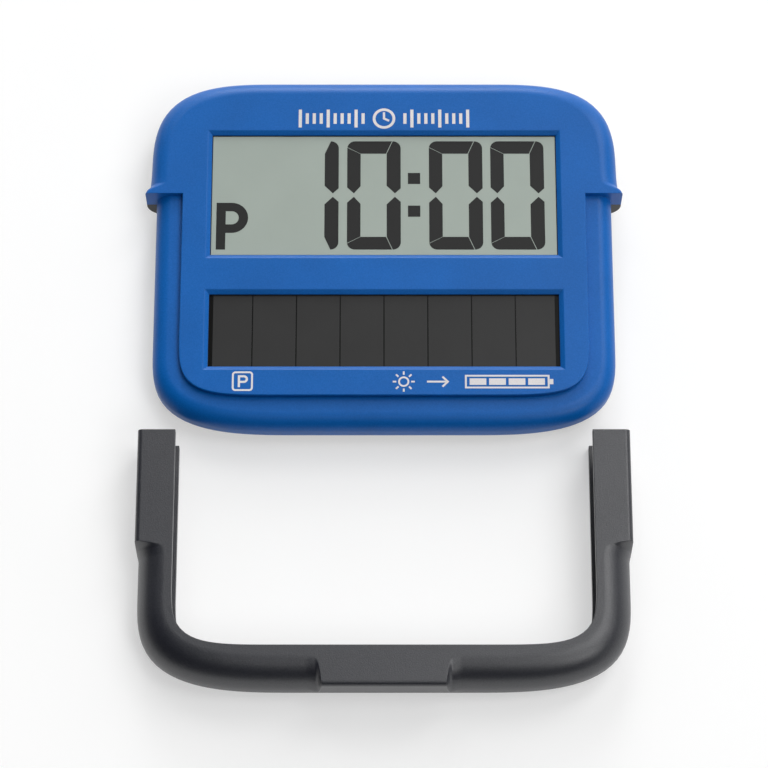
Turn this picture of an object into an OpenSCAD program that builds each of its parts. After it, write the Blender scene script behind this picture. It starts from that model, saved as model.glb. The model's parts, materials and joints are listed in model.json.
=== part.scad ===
// Electronic parking disc with a U-shaped slide-on holder.
// The unit lies on its back with the display up (+Z) and the top of the display towards +Y.
// The holder stands slid out below it, just clear of the unit. The origin is the centre of the
// footprint, on the surface that the unit rests on.

/* [Unit] */
// Width of the unit between the sides that slide into the holder
body_w = 100; // [80:0.5:130]
// Height of the unit from its bottom edge to its top edge
body_h = 82.4; // [68:0.2:110]
// Thickness of the unit from back to face
body_t = 11.6; // [11.2:0.1:16]
// Thickness of the housing walls
wall = 1.5; // [1.2:0.1:1.8]
// Height of the head, the part above the underside of the ears
head_h = 28.2; // [25:0.2:34]
// How far the head stands out past the sliding sides, on each side
head_grow = 1.2; // [0.6:0.1:2]
// How far the ears and the holder's side pads stand out past the sliding sides
pad_grow = 2.3; // [2:0.1:3.5]
// Rounding along the front edge of the head
head_round = 4; // [2:0.1:4.5]
// Rounding along the rear edge of the head and the holder
back_round = 5; // [3:0.1:5.5]
// Height of the parting line above the back
parting_z = 5.7; // [5:0.1:6.5]

/* [Rebate for the holder] */
// Width of the rebate along each side
strip_side = 5.9; // [4:0.1:8]
// Width of the rebate along the bottom edge
strip_foot = 6.6; // [5:0.1:9]
// Depth of the rebate below the face
strip_front = 1.5; // [1:0.1:2]
// Depth of the rebate above the back
strip_back = 2.25; // [1.8:0.05:2.6]
// Rounding along the edges that slide in the holder
strip_round = 3; // [1.5:0.1:3.4]

/* [Holder] */
// Clearance between the unit and the holder's side and bottom walls
slide_gap = 0.25; // [0.15:0.05:0.5]
// Clearance between the unit and the holder's flanges
flange_gap = 0.15; // [0.1:0.01:0.3]
// Wall of the holder round its outside
holder_wall = 1.5; // [1.2:0.1:2.5]
// How far the holder's front flange stands proud of the unit's face
flange_proud = 0.4; // [0.2:0.1:1]
// How far the rear flange reaches in past the front flange
rear_reach = 0.23; // [0:0.01:0.6]
// Rounding along the holder's front edge
holder_round = 5; // [3:0.1:5.5]
// Length of the flat pad on each arm
pad_len = 25; // [15:0.5:35]
// Length of the slope at the end of a side pad
pad_slope = 3; // [2:0.1:5]
// Width of the flat pad at the middle of the bar
foot_pad_w = 25.8; // [15:0.2:40]
// How far the pad of the bar stands out below the bar
foot_pad_grow = 0.6; // [0.3:0.1:1.2]
// Gap that the arms leave under the ears when the unit is seated
stop_gap = 0.1; // [0.1:0.05:0.5]
// Gap between the unit and the arms when the holder is slid out
out_gap = 1.4; // [0.5:0.1:10]

/* [Display] */
// Distance from the unit's sides to both windows
window_side = 12.15; // [11.5:0.05:16]
// Distance from the top edge to the display window
display_top = 13.8; // [12:0.1:18]
// Height of the band between the two windows
band_h = 9.3; // [9.3:0.1:14]
// Height of the solar window
solar_h = 16.9; // [12:0.1:22]
// Distance from the bottom edge to the solar window
solar_foot = 13.4; // [13:0.1:18]
// Depth and width of the bevel round a window
bevel = 0.95; // [0.6:0.05:1.1]
// Thickness of one display glass
glass_t = 1.1; // [0.7:0.1:1.1]
// Thickness of a polariser film, and of the foam round it
film_t = 0.2; // [0.1:0.05:0.3]
// Width of the contact ledge along the front glass
ledge_h = 2; // [1.6:0.1:2.4]
// Number of cells in the solar panel
cell_count = 8; // [4:1:12]

/* [Electronics] */
// Thickness of the circuit board
board_t = 1; // [0.6:0.1:1.2]
// Diameter of the coin cell
cell_d = 20; // [16:0.1:24.5]
// Thickness of the coin cell
cell_t = 3.2; // [1.6:0.1:3.2]
// Distance of the coin cell's centre above the unit's bottom edge
cell_y = 24; // [24:0.1:28]
// Diameter of a rear button
button_d = 6.2; // [5:0.1:8]
// Travel of a rear button
button_travel = 0.5; // [0.3:0.05:0.5]
// Distance of each button from the middle
button_x = 22; // [18:0.5:26]
// Diameter of a case screw
case_screw_d = 2; // [1.6:0.1:2.2]
// Diameter of a board screw
board_screw_d = 1.5; // [1.2:0.1:1.8]

/* [Hidden] */
$fn = 64;
EPS = 0.01;
FAR = 200;

// Outlines. Each corner is a quarter of a superellipse, from its centre with reaches a and b.
CORNER_STEPS = 14;
ROUND_STEPS = 5;
HEAD_CORNER = [28.2, 22.8, 3.2];
TRUNK_CORNER = [32, 18.1, 3.1];
PANEL_CORNER = [24.1, 16.5, 4.6];

// Heights through the unit, from the back
face_z = body_t;
shell_wall = wall + 0.1;
strip_hi = face_z - strip_front;
strip_lo = strip_back;
ceiling_z = face_z - shell_wall;
lcd_top = face_z - bevel;
glass_top = lcd_top - film_t;
glass_mid = glass_top - glass_t;
glass_low = glass_mid - glass_t;
board_gap = 0.05;
board_top = glass_low - film_t - board_gap;
board_low = board_top - board_t;

// Places up the unit, from its bottom edge
ear_y = body_h - head_h;
lcd_y1 = body_h - display_top;
solar_y0 = solar_foot;
solar_y1 = solar_foot + solar_h;
lcd_y0 = solar_y1 + band_h;
window_w = body_w - 2 * window_side;

// Travel of the holder, and the shift that centres the whole footprint
slide_travel = ear_y - stop_gap + out_gap;
holder_reach = slide_gap + holder_wall + foot_pad_grow;
shift_y = -(body_h - holder_reach - slide_travel) / 2;

// Display parts
glass_side = 0.8;
ledge_over = 0.2;
glass_w = window_w + 2 * glass_side;
glass_y0 = lcd_y0 - ledge_h - ledge_over;
glass_y1 = lcd_y1 + ledge_h + ledge_over;
fit_gap = 0.1;
gasket_lip = 0.15;
frame_wall = 1;
solar_side = 0.9;
solar_t = 1.1;

// Circuit board
board_edge = 0.8;
board_over = 5;
board_w = glass_w + 2 * (frame_wall + board_edge);
board_y0 = solar_y0 - solar_side - ledge_over;
board_y1 = glass_y1 + board_over;

// Battery space
door_floor = 0.2;
door_flange_t = 0.65;
cover_wall = 1.5;
cell_gap = 0.25;
well_r = cell_d / 2 + cell_gap;
mouth_r = well_r + 0.95;
lug_r = mouth_r + 1.2;
door_r = mouth_r + 1.8;
door_fit = 0.15;
door_top = cover_wall + 0.2;
lug_z = cover_wall + 0.05;
lug_t = 0.7;
lug_way = 0.2;
lug_angle = 30;
door_turn = 45;
ring_wall = 1;
ring_z = door_top + 0.8;
cell_z = door_top + 0.05;

// Buttons and switches
button_r = button_d / 2;
button_fit = 0.1;
button_floor = 0.35;
switch_w = 5.2;
switch_t = 1.6;
plunger_r = 1;
plunger_fit = 0.08;
plunger_out = button_travel;
plunger_in = 0.45;
collar_grow = 0.8;
collar_t = 0.6;
button_y = ear_y + 5;

// Screws: two pairs each, mirrored across the middle
screw_fit = 0.02;
screw_way = 0.15;
boss_z = 4;
boss_r = case_screw_d / 2 + 1.3;
column_r = boss_r + 0.2;
board_post_r = board_screw_d / 2 + 1.1;
low_screw = [body_w / 2 - 12, 11.2];
high_screw = [body_w / 2 - 7.7, body_h - 9.8];
case_screw_at = [low_screw, high_screw];
board_screw_at = [
    [window_w / 2 - 0.85, solar_y1 + 3.6],
    [window_w / 2 - 8, lcd_y1 + ledge_h + 4.5]
];

// Holder: gap between the raised panel and the flanges, and the bevel along the pads
panel_gap = 0.2;
PAD_BEVEL = 0.6;

BLUE = "#2664b4";
CHARCOAL = "#3a3b3e";
TIN = "#c9ccce";

// ---------------------------------------------------------------- outlines

// A quarter superellipse, counter-clockwise from the angle start
function corner(cx, cy, reach, d, start) = [
    for (i = [0:CORNER_STEPS])
        let (phi = start + 90 * i / CORNER_STEPS)
        let (u = pow(abs(cos(phi)) / (reach[0] - d), reach[2]))
        let (v = pow(abs(sin(phi)) / (reach[1] - d), reach[2]))
        let (r = pow(u + v, -1 / reach[2]))
        [cx + r * cos(phi), cy + r * sin(phi)]
];

// A straight-topped outline with rounded bottom corners, drawn in by d
function cup(half, y0, y1, reach, d) = concat(
    [[half - d, y1], [d - half, y1]],
    corner(reach[0] - half, y0 + reach[1], reach, d, 180),
    corner(half - reach[0], y0 + reach[1], reach, d, 270)
);

// A straight-bottomed outline with rounded top corners, drawn in by d
function cap(half, y0, y1, reach, d) = concat(
    [[d - half, y0], [half - d, y0]],
    corner(half - reach[0], y1 - reach[1], reach, d, 0),
    corner(reach[0] - half, y1 - reach[1], reach, d, 90)
);

// Outlines of the unit, each as a function of how far it is drawn in
head_line = function (d) cap(body_w / 2 + head_grow, ear_y + 0.4, body_h, HEAD_CORNER, d);
trunk_line = function (d) cup(body_w / 2, 0, ear_y + 3, TRUNK_CORNER, d);
panel_line = function (d) cup(body_w / 2 - strip_side, strip_foot, ear_y + 1, PANEL_CORNER, d);

// Outlines of the holder while the unit is seated in it. The corners keep the unit's centres,
// so their reaches grow with the gap and the wall.
function grown(reach, g) = [reach[0] + g, reach[1] + g, reach[2]];
arm_top = ear_y - stop_gap;
slot_half = body_w / 2 + slide_gap;
slot_line = function (d)
    cup(slot_half, -slide_gap, arm_top + 1, grown(TRUNK_CORNER, slide_gap), d);
holder_line = function (d)
    cup(slot_half + holder_wall, -slide_gap - holder_wall, arm_top,
        grown(TRUNK_CORNER, slide_gap + holder_wall), d);
flange_line = function (d)
    cup(body_w / 2 - strip_side + panel_gap, strip_foot - panel_gap, arm_top + 1,
        grown(PANEL_CORNER, panel_gap), d);

// A plate with the given outline, rounded along its lower and upper edges
module rounded_plate(line, z0, z1, r0, r1) {
    s = ROUND_STEPS;
    low = [for (i = [0:s]) let (a = 90 * i / s) [z0 + r0 * (1 - cos(a)), r0 * (1 - sin(a))]];
    high = [for (i = [0:s]) let (a = 90 - 90 * i / s) [z1 - r1 * (1 - cos(a)), r1 * (1 - sin(a))]];
    levels = concat(low, high);
    n = len(line(0));
    m = len(levels);
    points = [for (k = levels) for (p = line(k[1])) [p[0], p[1], k[0]]];
    sides = [
        for (j = [0:m - 2]) for (i = [0:n - 1])
            let (a = j * n + i, b = j * n + (i + 1) % n)
            each [[a, a + n, b], [b, a + n, b + n]]
    ];
    floor_face = [for (i = [0:n - 1]) i];
    roof_face = [for (i = [0:n - 1]) m * n - 1 - i];
    polyhedron(points, concat([floor_face], sides, [roof_face]));
}

module mirrored() {
    children();
    mirror([1, 0, 0]) children();
}

// A box centred on X between two heights up the unit
module slab(w, y0, y1, z0, z1) {
    translate([-w / 2, y0, z0]) cube([w, y1 - y0, z1 - z0]);
}

// A rod standing on z0
module post(at, r, z0, z1) {
    translate([at[0], at[1], z0]) cylinder(r = r, h = z1 - z0);
}

// Places everything on the shared origin
module placed() {
    translate([0, shift_y, 0]) children();
}

// ---------------------------------------------------------------- unit, solid forms

// Squared-off side pad: its section is square at the front and rounded at the back.
// It runs from y0 to y1 and slopes away over a stretch at its far end, up or down.
module side_pad(z1, y0, y1, slope_end) {
    half = body_w / 2 + pad_grow;
    inner = body_w / 2 - strip_side - 1;
    arc = [
        for (i = [0:8])
            let (a = -90 + 90 * i / 8)
            [half - back_round + back_round * cos(a), back_round + back_round * sin(a)]
    ];
    section = concat([[inner, z1], [inner, 0]], arc, [[half, z1 - PAD_BEVEL], [half - PAD_BEVEL, z1]]);
    low = min(y0, slope_end);
    high = max(y1, slope_end);
    plan = slope_end > y1
        ? [[inner, y0], [half, y0], [half, y1], [half - pad_grow + head_grow, slope_end],
           [inner, slope_end]]
        : [[inner, y1], [half, y1], [half, y0],
           [half - pad_grow + slide_gap + holder_wall, slope_end], [inner, slope_end]];
    mirrored() intersection() {
        translate([0, high, 0]) rotate([90, 0, 0]) linear_extrude(high - low) polygon(section);
        linear_extrude(z1) polygon(plan);
    }
}

// Outer form of the closed unit
module unit_form() {
    rounded_plate(head_line, 0, face_z, back_round, head_round);
    rounded_plate(trunk_line, strip_lo, strip_hi, strip_round, strip_round + 0.4);
    translate([0, 0, face_z / 2]) linear_extrude(face_z / 2) polygon(panel_line(0));
    linear_extrude(face_z / 2) polygon(panel_line(rear_reach));
    side_pad(face_z, ear_y, ear_y + 3, ear_y + 5.6);
}

// Space inside the unit. The head's space starts above the wall under the ears, and the two
// spaces below reach up into it.
module unit_space() {
    head_y = ear_y + wall;
    rounded_plate(function (d) cap(body_w / 2 + head_grow - shell_wall, head_y,
        body_h - shell_wall, grown(HEAD_CORNER, -shell_wall), d), cover_wall, ceiling_z,
        back_round - wall, head_round - wall);
    rounded_plate(function (d) cup(body_w / 2 - shell_wall, shell_wall, head_y + 1,
        grown(TRUNK_CORNER, -shell_wall), d), strip_lo + wall, strip_hi - wall,
        strip_round - wall, strip_round - wall);
    translate([0, 0, cover_wall]) linear_extrude(ceiling_z - cover_wall)
        polygon(cup(body_w / 2 - strip_side, strip_foot, head_y + 1, PANEL_CORNER,
            wall + rear_reach));
}

// Bevelled window down to the display plane
module window_cut(y0, y1) {
    hull() {
        slab(window_w, y0, y1, lcd_top - EPS, lcd_top);
        slab(window_w + 2 * bevel, y0 - bevel, y1 + bevel, face_z, face_z + EPS);
    }
}

// ---------------------------------------------------------------- unit, shells

module front_housing() {
    color(BLUE) placed() difference() {
        union() {
            difference() {
                unit_form();
                unit_space();
                slab(FAR, -FAR, FAR, -1, parting_z);
                window_cut(lcd_y0, lcd_y1);
                window_cut(solar_y0, solar_y1);
            }
            mirrored() {
                for (p = case_screw_at) post(p, boss_r, boss_z, ceiling_z + 0.2);
                for (p = board_screw_at) post(p, board_post_r, board_top, ceiling_z + 0.2);
            }
        }
        slab(glass_w + 2 * fit_gap, glass_y0 - fit_gap, glass_y1 + fit_gap, glass_mid, lcd_top);
        slab(window_w + 2 * (solar_side + fit_gap), solar_y0 - solar_side - fit_gap,
            solar_y1 + solar_side + fit_gap, lcd_top - film_t - solar_t, lcd_top);
        mirrored() {
            for (p = case_screw_at) post(p, case_screw_d / 2 + screw_fit, boss_z - 1, boss_z + 5);
            for (p = board_screw_at)
                post(p, board_screw_d / 2 + screw_fit, board_top - 1, ceiling_z - 0.1);
        }
    }
}

module rear_cover() {
    tongue_h = 0.8;
    color(CHARCOAL) placed() difference() {
        union() {
            difference() {
                unit_form();
                unit_space();
                slab(FAR, -FAR, FAR, parting_z, face_z + 1);
            }
            // Tongue that stands up inside the front housing, on a base rooted in the wall
            translate([0, 0, parting_z - 0.8]) linear_extrude(0.75) rim(wall - 0.3, wall + 0.9);
            translate([0, 0, parting_z - 0.4]) linear_extrude(0.4 + tongue_h)
                rim(wall + 0.1 + fit_gap, wall + 0.9);
            // Ring that locates the coin cell
            post([0, cell_y], lug_r + lug_way + ring_wall, cover_wall - 0.2, ring_z);
            post([0, cell_y], well_r + ring_wall, ring_z - 0.2, cell_z + cell_t + 0.5);
            mirrored() for (p = case_screw_at) post(p, column_r, cover_wall - 0.2, boss_z);
        }
        // Battery mouth, door recess, bayonet ledge and its two notches
        post([0, cell_y], mouth_r, -1, ring_z);
        post([0, cell_y], door_r + door_fit, -1, door_floor + door_flange_t + 0.05);
        post([0, cell_y], lug_r + lug_way, cover_wall, ring_z - 0.2);
        post([0, cell_y], well_r, 0, body_t);
        translate([0, cell_y, -1]) rotate([0, 0, door_turn]) bayonet(lug_angle + 4, lug_r + 0.1, 3);
        // Way through for the positive contact
        translate([cell_d / 2 - 0.6, cell_y - 3.2, ring_z]) cube([6, 6.4, cell_t + 2]);
        // Buttons
        mirrored() post([button_x, button_y], button_r + button_fit, -1, cover_wall + 1);
        // Screw holes with countersinks
        mirrored() for (p = case_screw_at) {
            post(p, case_screw_d / 2 + screw_way, -1, boss_z + 1);
            translate([p[0], p[1], -EPS])
                cylinder(r1 = case_screw_d * 0.95 + screw_way, r2 = case_screw_d / 2 + 0.1, h = 1.1);
        }
    }
}

// Flat outline of the whole unit, drawn in by d
module inset_outline(d) {
    polygon(trunk_line(d));
    polygon(head_line(d));
}

// Band that follows the wall between two depths, open where the ears cross it
module rim(outer, inner) {
    difference() {
        inset_outline(outer);
        inset_outline(inner);
        translate([-FAR, ear_y - 2]) square([2 * FAR, 6]);
    }
}

// Two opposite sectors, each angle wide, out to radius r
module bayonet(angle, r, h) {
    for (turn = [0, 180])
        rotate([0, 0, turn - angle / 2]) rotate_extrude(angle = angle) square([r, h]);
}

module battery_door() {
    plug_r = mouth_r - door_fit;
    color(CHARCOAL) placed() translate([0, cell_y, 0]) difference() {
        union() {
            translate([0, 0, door_floor]) cylinder(r = door_r, h = door_flange_t);
            translate([0, 0, door_floor]) cylinder(r = plug_r, h = door_top - door_floor);
            intersection() {
                translate([0, 0, lug_z]) bayonet(lug_angle, lug_r, lug_t);
                difference() {
                    cylinder(r = lug_r, h = 6);
                    cylinder(r = well_r - 0.05, h = 6);
                }
            }
        }
        // Slot for a coin
        translate([-7, -1, -1]) cube([14, 2, door_floor + 1.5]);
        // Groove for the seal
        translate([0, 0, cover_wall - 0.55]) rotate_extrude()
            translate([plug_r - 0.5, 0]) square([1, 0.5]);
    }
}

module door_seal() {
    plug_r = mouth_r - door_fit;
    color("#1c1c1e") placed() translate([0, cell_y, cover_wall - 0.3])
        rotate_extrude() translate([plug_r - 0.13, 0]) circle(r = 0.245, $fn = 24);
}

// ---------------------------------------------------------------- display

module lcd_gasket() {
    color("#202122") placed() difference() {
        slab(glass_w, glass_y0, glass_y1, glass_top, lcd_top);
        slab(window_w - 2 * gasket_lip, lcd_y0 + gasket_lip, lcd_y1 - gasket_lip, glass_top - 1,
            lcd_top + 1);
    }
}

module front_polariser() {
    edge = gasket_lip + 0.05;
    color("#a3aca3") placed()
        slab(window_w - 2 * edge, lcd_y0 + edge, lcd_y1 - edge, glass_top, lcd_top - 0.02);
}

module lcd_front_glass() {
    color("#9aa69b") placed() slab(glass_w, glass_y0, glass_y1, glass_mid, glass_top);
}

module lcd_rear_glass() {
    color("#8c988e") placed()
        slab(glass_w, glass_y0 + ledge_h, glass_y1 - ledge_h, glass_low, glass_mid);
}

module lcd_reflector() {
    color("#c2c8c2") placed()
        slab(glass_w - 1, glass_y0 + ledge_h + 0.3, glass_y1 - ledge_h - 0.3, glass_low - film_t,
            glass_low);
}

module zebra_strip(y0) {
    strip_w = window_w - 3;
    strip_h = ledge_h - 0.2;
    color("#55585c") placed() slab(strip_w, y0, y0 + strip_h, board_top, glass_mid);
}

module upper_zebra_strip() { zebra_strip(glass_y1 - ledge_h + 0.1); }

module lower_zebra_strip() { zebra_strip(glass_y0 + 0.1); }

module lcd_frame() {
    outer_w = glass_w + 2 * (frame_wall + fit_gap);
    outer_h = frame_wall + fit_gap;
    color("#d9dad6") placed() difference() {
        slab(outer_w, glass_y0 - outer_h, glass_y1 + outer_h, board_top, ceiling_z);
        slab(glass_w + 2 * fit_gap, glass_y0 - fit_gap, glass_y1 + fit_gap, board_top - 1,
            ceiling_z + 1);
    }
}

// ---------------------------------------------------------------- solar supply

module solar_panel() {
    pitch = window_w / cell_count;
    groove = 0.3;
    w = window_w + 2 * solar_side;
    top = lcd_top - film_t;
    color("#2f3032") placed() difference() {
        slab(w, solar_y0 - solar_side, solar_y1 + solar_side, top - solar_t, top);
        // Laser lines that part the cells, on the coated back of the glass
        for (i = [1:cell_count - 1])
            translate([-window_w / 2 + pitch * i - groove / 2, solar_y0, top - solar_t - 1])
                cube([groove, solar_h, 1.05]);
    }
}

module solar_gasket() {
    color("#202122") placed() difference() {
        slab(window_w + 2 * solar_side, solar_y0 - solar_side, solar_y1 + solar_side,
            lcd_top - film_t, lcd_top);
        slab(window_w - 0.1, solar_y0 + 0.05, solar_y1 - 0.05, lcd_top - 1, lcd_top + 1);
    }
}

// Bent spring strips from the board up to the back of the solar panel
module solar_contacts() {
    t = 0.2;
    low = board_top;
    high = lcd_top - film_t - solar_t;
    span = 5;
    strip = [
        [0, low], [span, low], [span, low + t], [1.2, low + t], [span - 0.6, high - t],
        [span + 1, high - t], [span + 1, high], [span - 0.8, high], [0, low + t]
    ];
    color("#c8a45c") placed() mirrored()
        translate([window_w / 2 - 7.5, solar_y0 + 4, 0]) rotate([90, 0, 0])
            linear_extrude(2.4) polygon(strip);
}

// ---------------------------------------------------------------- circuit board

module circuit_board() {
    notch_r = boss_r + 0.4;
    color("#1f6a45") placed() difference() {
        slab(board_w, board_y0, board_y1, board_low, board_top);
        mirrored() {
            for (p = board_screw_at)
                post(p, board_screw_d / 2 + screw_way, board_low - 1, board_top + 1);
            // Notches round the case screws, open to the board's edge
            for (p = case_screw_at) {
                post(p, notch_r, board_low - 1, board_top + 1);
                translate([p[0], p[1] - notch_r, board_low - 1])
                    cube([board_w, 2 * notch_r, board_t + 2]);
            }
        }
    }
}

// Epoxy dome over the controller
module controller_chip() {
    dome_r = 5;
    dome_h = 1.3;
    arc = [for (i = [0:6]) [dome_r * cos(15 * i), -dome_h * sin(15 * i)]];
    color("#17181a") placed() translate([0, ear_y - 1, board_low])
        rotate_extrude() polygon(concat([[0, 0]], arc));
}

module clock_crystal() {
    r = 1;
    color(TIN) placed() translate([11, ear_y - 4, board_low - r]) {
        rotate([-90, 0, 0]) cylinder(r = r, h = 6, $fn = 32);
        for (x = [-0.35, 0.35])
            translate([x, 0.1, 0]) rotate([90, 0, 0]) cylinder(r = 0.15, h = 1.6, $fn = 16);
    }
}

// Ball-in-tube vibration switch that tells driving from standing
module motion_sensor() {
    r = 1.6;
    color(TIN) placed() translate([-16, ear_y - 8, board_low - r - 0.4]) {
        rotate([0, 90, 0]) cylinder(r = r, h = 7, $fn = 40);
        translate([0.6, -r, 0]) cube([5.8, 2 * r, r + 0.4]);
    }
}

module storage_capacitor() {
    r = 2;
    color("#30333a") placed() translate([24, ear_y - 10, board_low - r]) {
        rotate([-90, 0, 0]) cylinder(r = r, h = 7, $fn = 40);
        for (x = [-0.9, 0.9])
            translate([x, 0.1, 0]) rotate([90, 0, 0]) cylinder(r = 0.25, h = 1.6, $fn = 16);
    }
}

module chip_capacitors() {
    color("#b79a6a") placed() for (i = [0:5])
        translate([-9 + 3.4 * i, ear_y - 12, board_low - 0.7]) cube([1, 2, 0.7]);
}

module switch_body(side) {
    color("#26272a") placed() translate([side * button_x, button_y, 0]) difference() {
        translate([-switch_w / 2, -switch_w / 2, board_low - switch_t])
            cube([switch_w, switch_w, switch_t]);
        translate([0, 0, board_low - switch_t - 1])
            cylinder(r = plunger_r + plunger_fit, h = 1.2 + plunger_in + button_travel);
    }
}

module left_switch() { switch_body(-1); }

module right_switch() { switch_body(1); }

module switch_plunger(side) {
    low = board_low - switch_t - plunger_out;
    color("#6e7074") placed() translate([side * button_x, button_y, low])
        cylinder(r = plunger_r, h = plunger_out + plunger_in);
}

module left_plunger() { switch_plunger(-1); }

module right_plunger() { switch_plunger(1); }

// Button cap with its inner collar and the stem that reaches the switch
module push_button(side) {
    collar_z = cover_wall + 0.1;
    stem_r = 1.3;
    stem_top = board_low - switch_t - plunger_out;
    color("#4b4d52") placed() translate([side * button_x, button_y, 0]) {
        translate([0, 0, button_floor]) cylinder(r = button_r, h = collar_z - button_floor + 0.1);
        translate([0, 0, collar_z]) cylinder(r = button_r + collar_grow, h = collar_t);
        translate([0, 0, collar_z + 0.1]) cylinder(r = stem_r, h = stem_top - collar_z - 0.1);
    }
}

module left_button() { push_button(-1); }

module right_button() { push_button(1); }

// ---------------------------------------------------------------- battery and contacts

module coin_cell() {
    rim = 0.4;
    color(TIN) placed() translate([0, cell_y, cell_z]) {
        cylinder(r = cell_d / 2, h = cell_t - rim);
        translate([0, 0, cell_t - rim - 0.1]) cylinder(r = cell_d / 2 - 1.4, h = rim + 0.1);
    }
}

// Angle strip that presses on the side of the cell
module positive_contact() {
    t = 0.2;
    x = cell_d / 2 + 0.02;
    low = ring_z + 0.1;
    strip = [
        [x, low], [x + t, low], [x + t, board_low - t], [x + 4, board_low - t],
        [x + 4, board_low], [x, board_low]
    ];
    color("#c8a45c") placed() translate([0, cell_y + 2.5, 0]) rotate([90, 0, 0])
        linear_extrude(5) polygon(strip);
}

// Leaf that runs down from the board to the middle of the cell
module negative_contact() {
    t = 0.2;
    top = cell_z + cell_t;
    y0 = cell_y + 6;
    strip = [
        [y0 + 7, board_low], [y0 - 0.2, board_low], [cell_y - 1.5, top + t],
        [cell_y - 3, top + 0.4 + t], [cell_y - 3, top + 0.4], [cell_y - 1.5, top],
        [y0, board_low - t], [y0 + 7, board_low - t]
    ];
    leaf = board_low - t > top + t
        ? strip
        : [[y0 + 7, board_low], [cell_y - 3, board_low], [cell_y - 3, top], [y0 + 7, top]];
    color("#c8a45c") placed() translate([2, 0, 0]) rotate([90, 0, -90]) mirror([1, 0, 0])
        linear_extrude(4) polygon(leaf);
}

// ---------------------------------------------------------------- screws

// Countersunk screw with a cross recess, standing on its head
module case_screws() {
    head_h = 1;
    length = 7;
    color(TIN) placed() mirrored() for (p = case_screw_at)
        translate([p[0], p[1], 0.1]) difference() {
            union() {
                cylinder(r1 = case_screw_d * 0.95, r2 = case_screw_d / 2, h = head_h);
                cylinder(r = case_screw_d / 2, h = length);
            }
            cross_recess(2.2, 0.5, 0.6);
        }
}

module board_screws() {
    head_h = 0.7;
    color(TIN) placed() mirrored() for (p = board_screw_at)
        translate([p[0], p[1], board_low - head_h]) difference() {
            union() {
                cylinder(r = board_screw_d, h = head_h);
                cylinder(r = board_screw_d / 2, h = head_h + board_t + 1.6);
            }
            cross_recess(1.8, 0.4, 0.4);
        }
}

module cross_recess(w, slot, depth) {
    for (turn = [0, 90])
        rotate([0, 0, turn]) translate([-w / 2, -slot / 2, -1]) cube([w, slot, depth + 1]);
}

// ---------------------------------------------------------------- holder

// U-shaped channel that the unit slides into, drawn around the seated unit and then slid out
module holder() {
    top = face_z + flange_proud;
    slot_lo = strip_lo - flange_gap;
    slot_hi = strip_hi + flange_gap;
    color(CHARCOAL) placed() translate([0, -slide_travel, 0]) difference() {
        union() {
            rounded_plate(holder_line, 0, top, back_round, holder_round);
            side_pad(top, arm_top - pad_len, arm_top, arm_top - pad_len - pad_slope);
            foot_pad(top);
        }
        rounded_plate(slot_line, slot_lo, slot_hi, strip_round - 0.2, strip_round + 0.2);
        translate([0, 0, body_t / 2]) linear_extrude(body_t) polygon(flange_line(0));
        translate([0, 0, -1]) linear_extrude(body_t / 2 + 2) polygon(flange_line(rear_reach));
    }
}

// Squared-off pad at the middle of the holder's bar, with a bevelled front edge
module foot_pad(top) {
    low = -slide_gap - holder_wall - foot_pad_grow;
    inner = strip_foot + 1;
    slope = 1.4;
    arc = [
        for (i = [0:8])
            let (a = 180 + 90 * i / 8)
            [low + back_round + back_round * cos(a), back_round + back_round * sin(a)]
    ];
    section = concat(arc, [[inner, 0], [inner, top], [low + PAD_BEVEL, top], [low, top - PAD_BEVEL]]);
    half = foot_pad_w / 2;
    plan = [
        [-half, low], [half, low], [half + slope, low + foot_pad_grow], [half + slope, inner],
        [-half - slope, inner], [-half - slope, low + foot_pad_grow]
    ];
    intersection() {
        translate([-body_w / 2, 0, 0]) rotate([90, 0, 90]) linear_extrude(body_w) polygon(section);
        linear_extrude(top) polygon(plan);
    }
}

front_housing();
rear_cover();
lcd_gasket();
front_polariser();
lcd_front_glass();
lcd_rear_glass();
lcd_reflector();
upper_zebra_strip();
lower_zebra_strip();
lcd_frame();
solar_panel();
solar_gasket();
solar_contacts();
circuit_board();
controller_chip();
clock_crystal();
motion_sensor();
storage_capacitor();
chip_capacitors();
left_switch();
right_switch();
left_plunger();
right_plunger();
left_button();
right_button();
coin_cell();
positive_contact();
negative_contact();
battery_door();
door_seal();
case_screws();
board_screws();
holder();
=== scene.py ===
"""Looks of an electronic parking disc and its slide-on holder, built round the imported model.

The housing shells, the holder, the display's figures and the printed marks are surfaces worked out
with numpy. The parts inside keep their own shapes and get their finishes here. Sizes in the classes
are in millimetres, in the shared frame, and every mesh is written in metres.
"""

from __future__ import annotations

import json
import logging
import math
from dataclasses import dataclass, field
from enum import Enum
from typing import Sequence

import bpy
import numpy as np
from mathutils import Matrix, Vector


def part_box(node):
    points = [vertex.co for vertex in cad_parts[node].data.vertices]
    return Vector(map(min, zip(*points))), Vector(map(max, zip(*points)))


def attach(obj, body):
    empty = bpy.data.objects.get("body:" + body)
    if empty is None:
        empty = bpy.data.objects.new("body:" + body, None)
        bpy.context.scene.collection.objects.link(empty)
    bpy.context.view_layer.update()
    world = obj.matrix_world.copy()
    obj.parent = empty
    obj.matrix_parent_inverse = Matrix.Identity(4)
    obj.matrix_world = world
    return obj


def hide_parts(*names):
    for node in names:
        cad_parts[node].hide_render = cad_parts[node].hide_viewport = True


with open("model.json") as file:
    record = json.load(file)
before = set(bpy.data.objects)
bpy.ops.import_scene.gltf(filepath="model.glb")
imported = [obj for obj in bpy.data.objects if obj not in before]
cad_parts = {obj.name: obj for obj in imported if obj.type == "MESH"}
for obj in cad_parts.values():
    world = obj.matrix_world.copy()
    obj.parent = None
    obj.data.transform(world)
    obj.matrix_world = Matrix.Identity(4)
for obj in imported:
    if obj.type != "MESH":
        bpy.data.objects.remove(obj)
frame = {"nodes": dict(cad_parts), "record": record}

# metres in a millimetre, and steps of a rounded edge
MM = 0.001
ROUND_STEPS = 12
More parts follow.
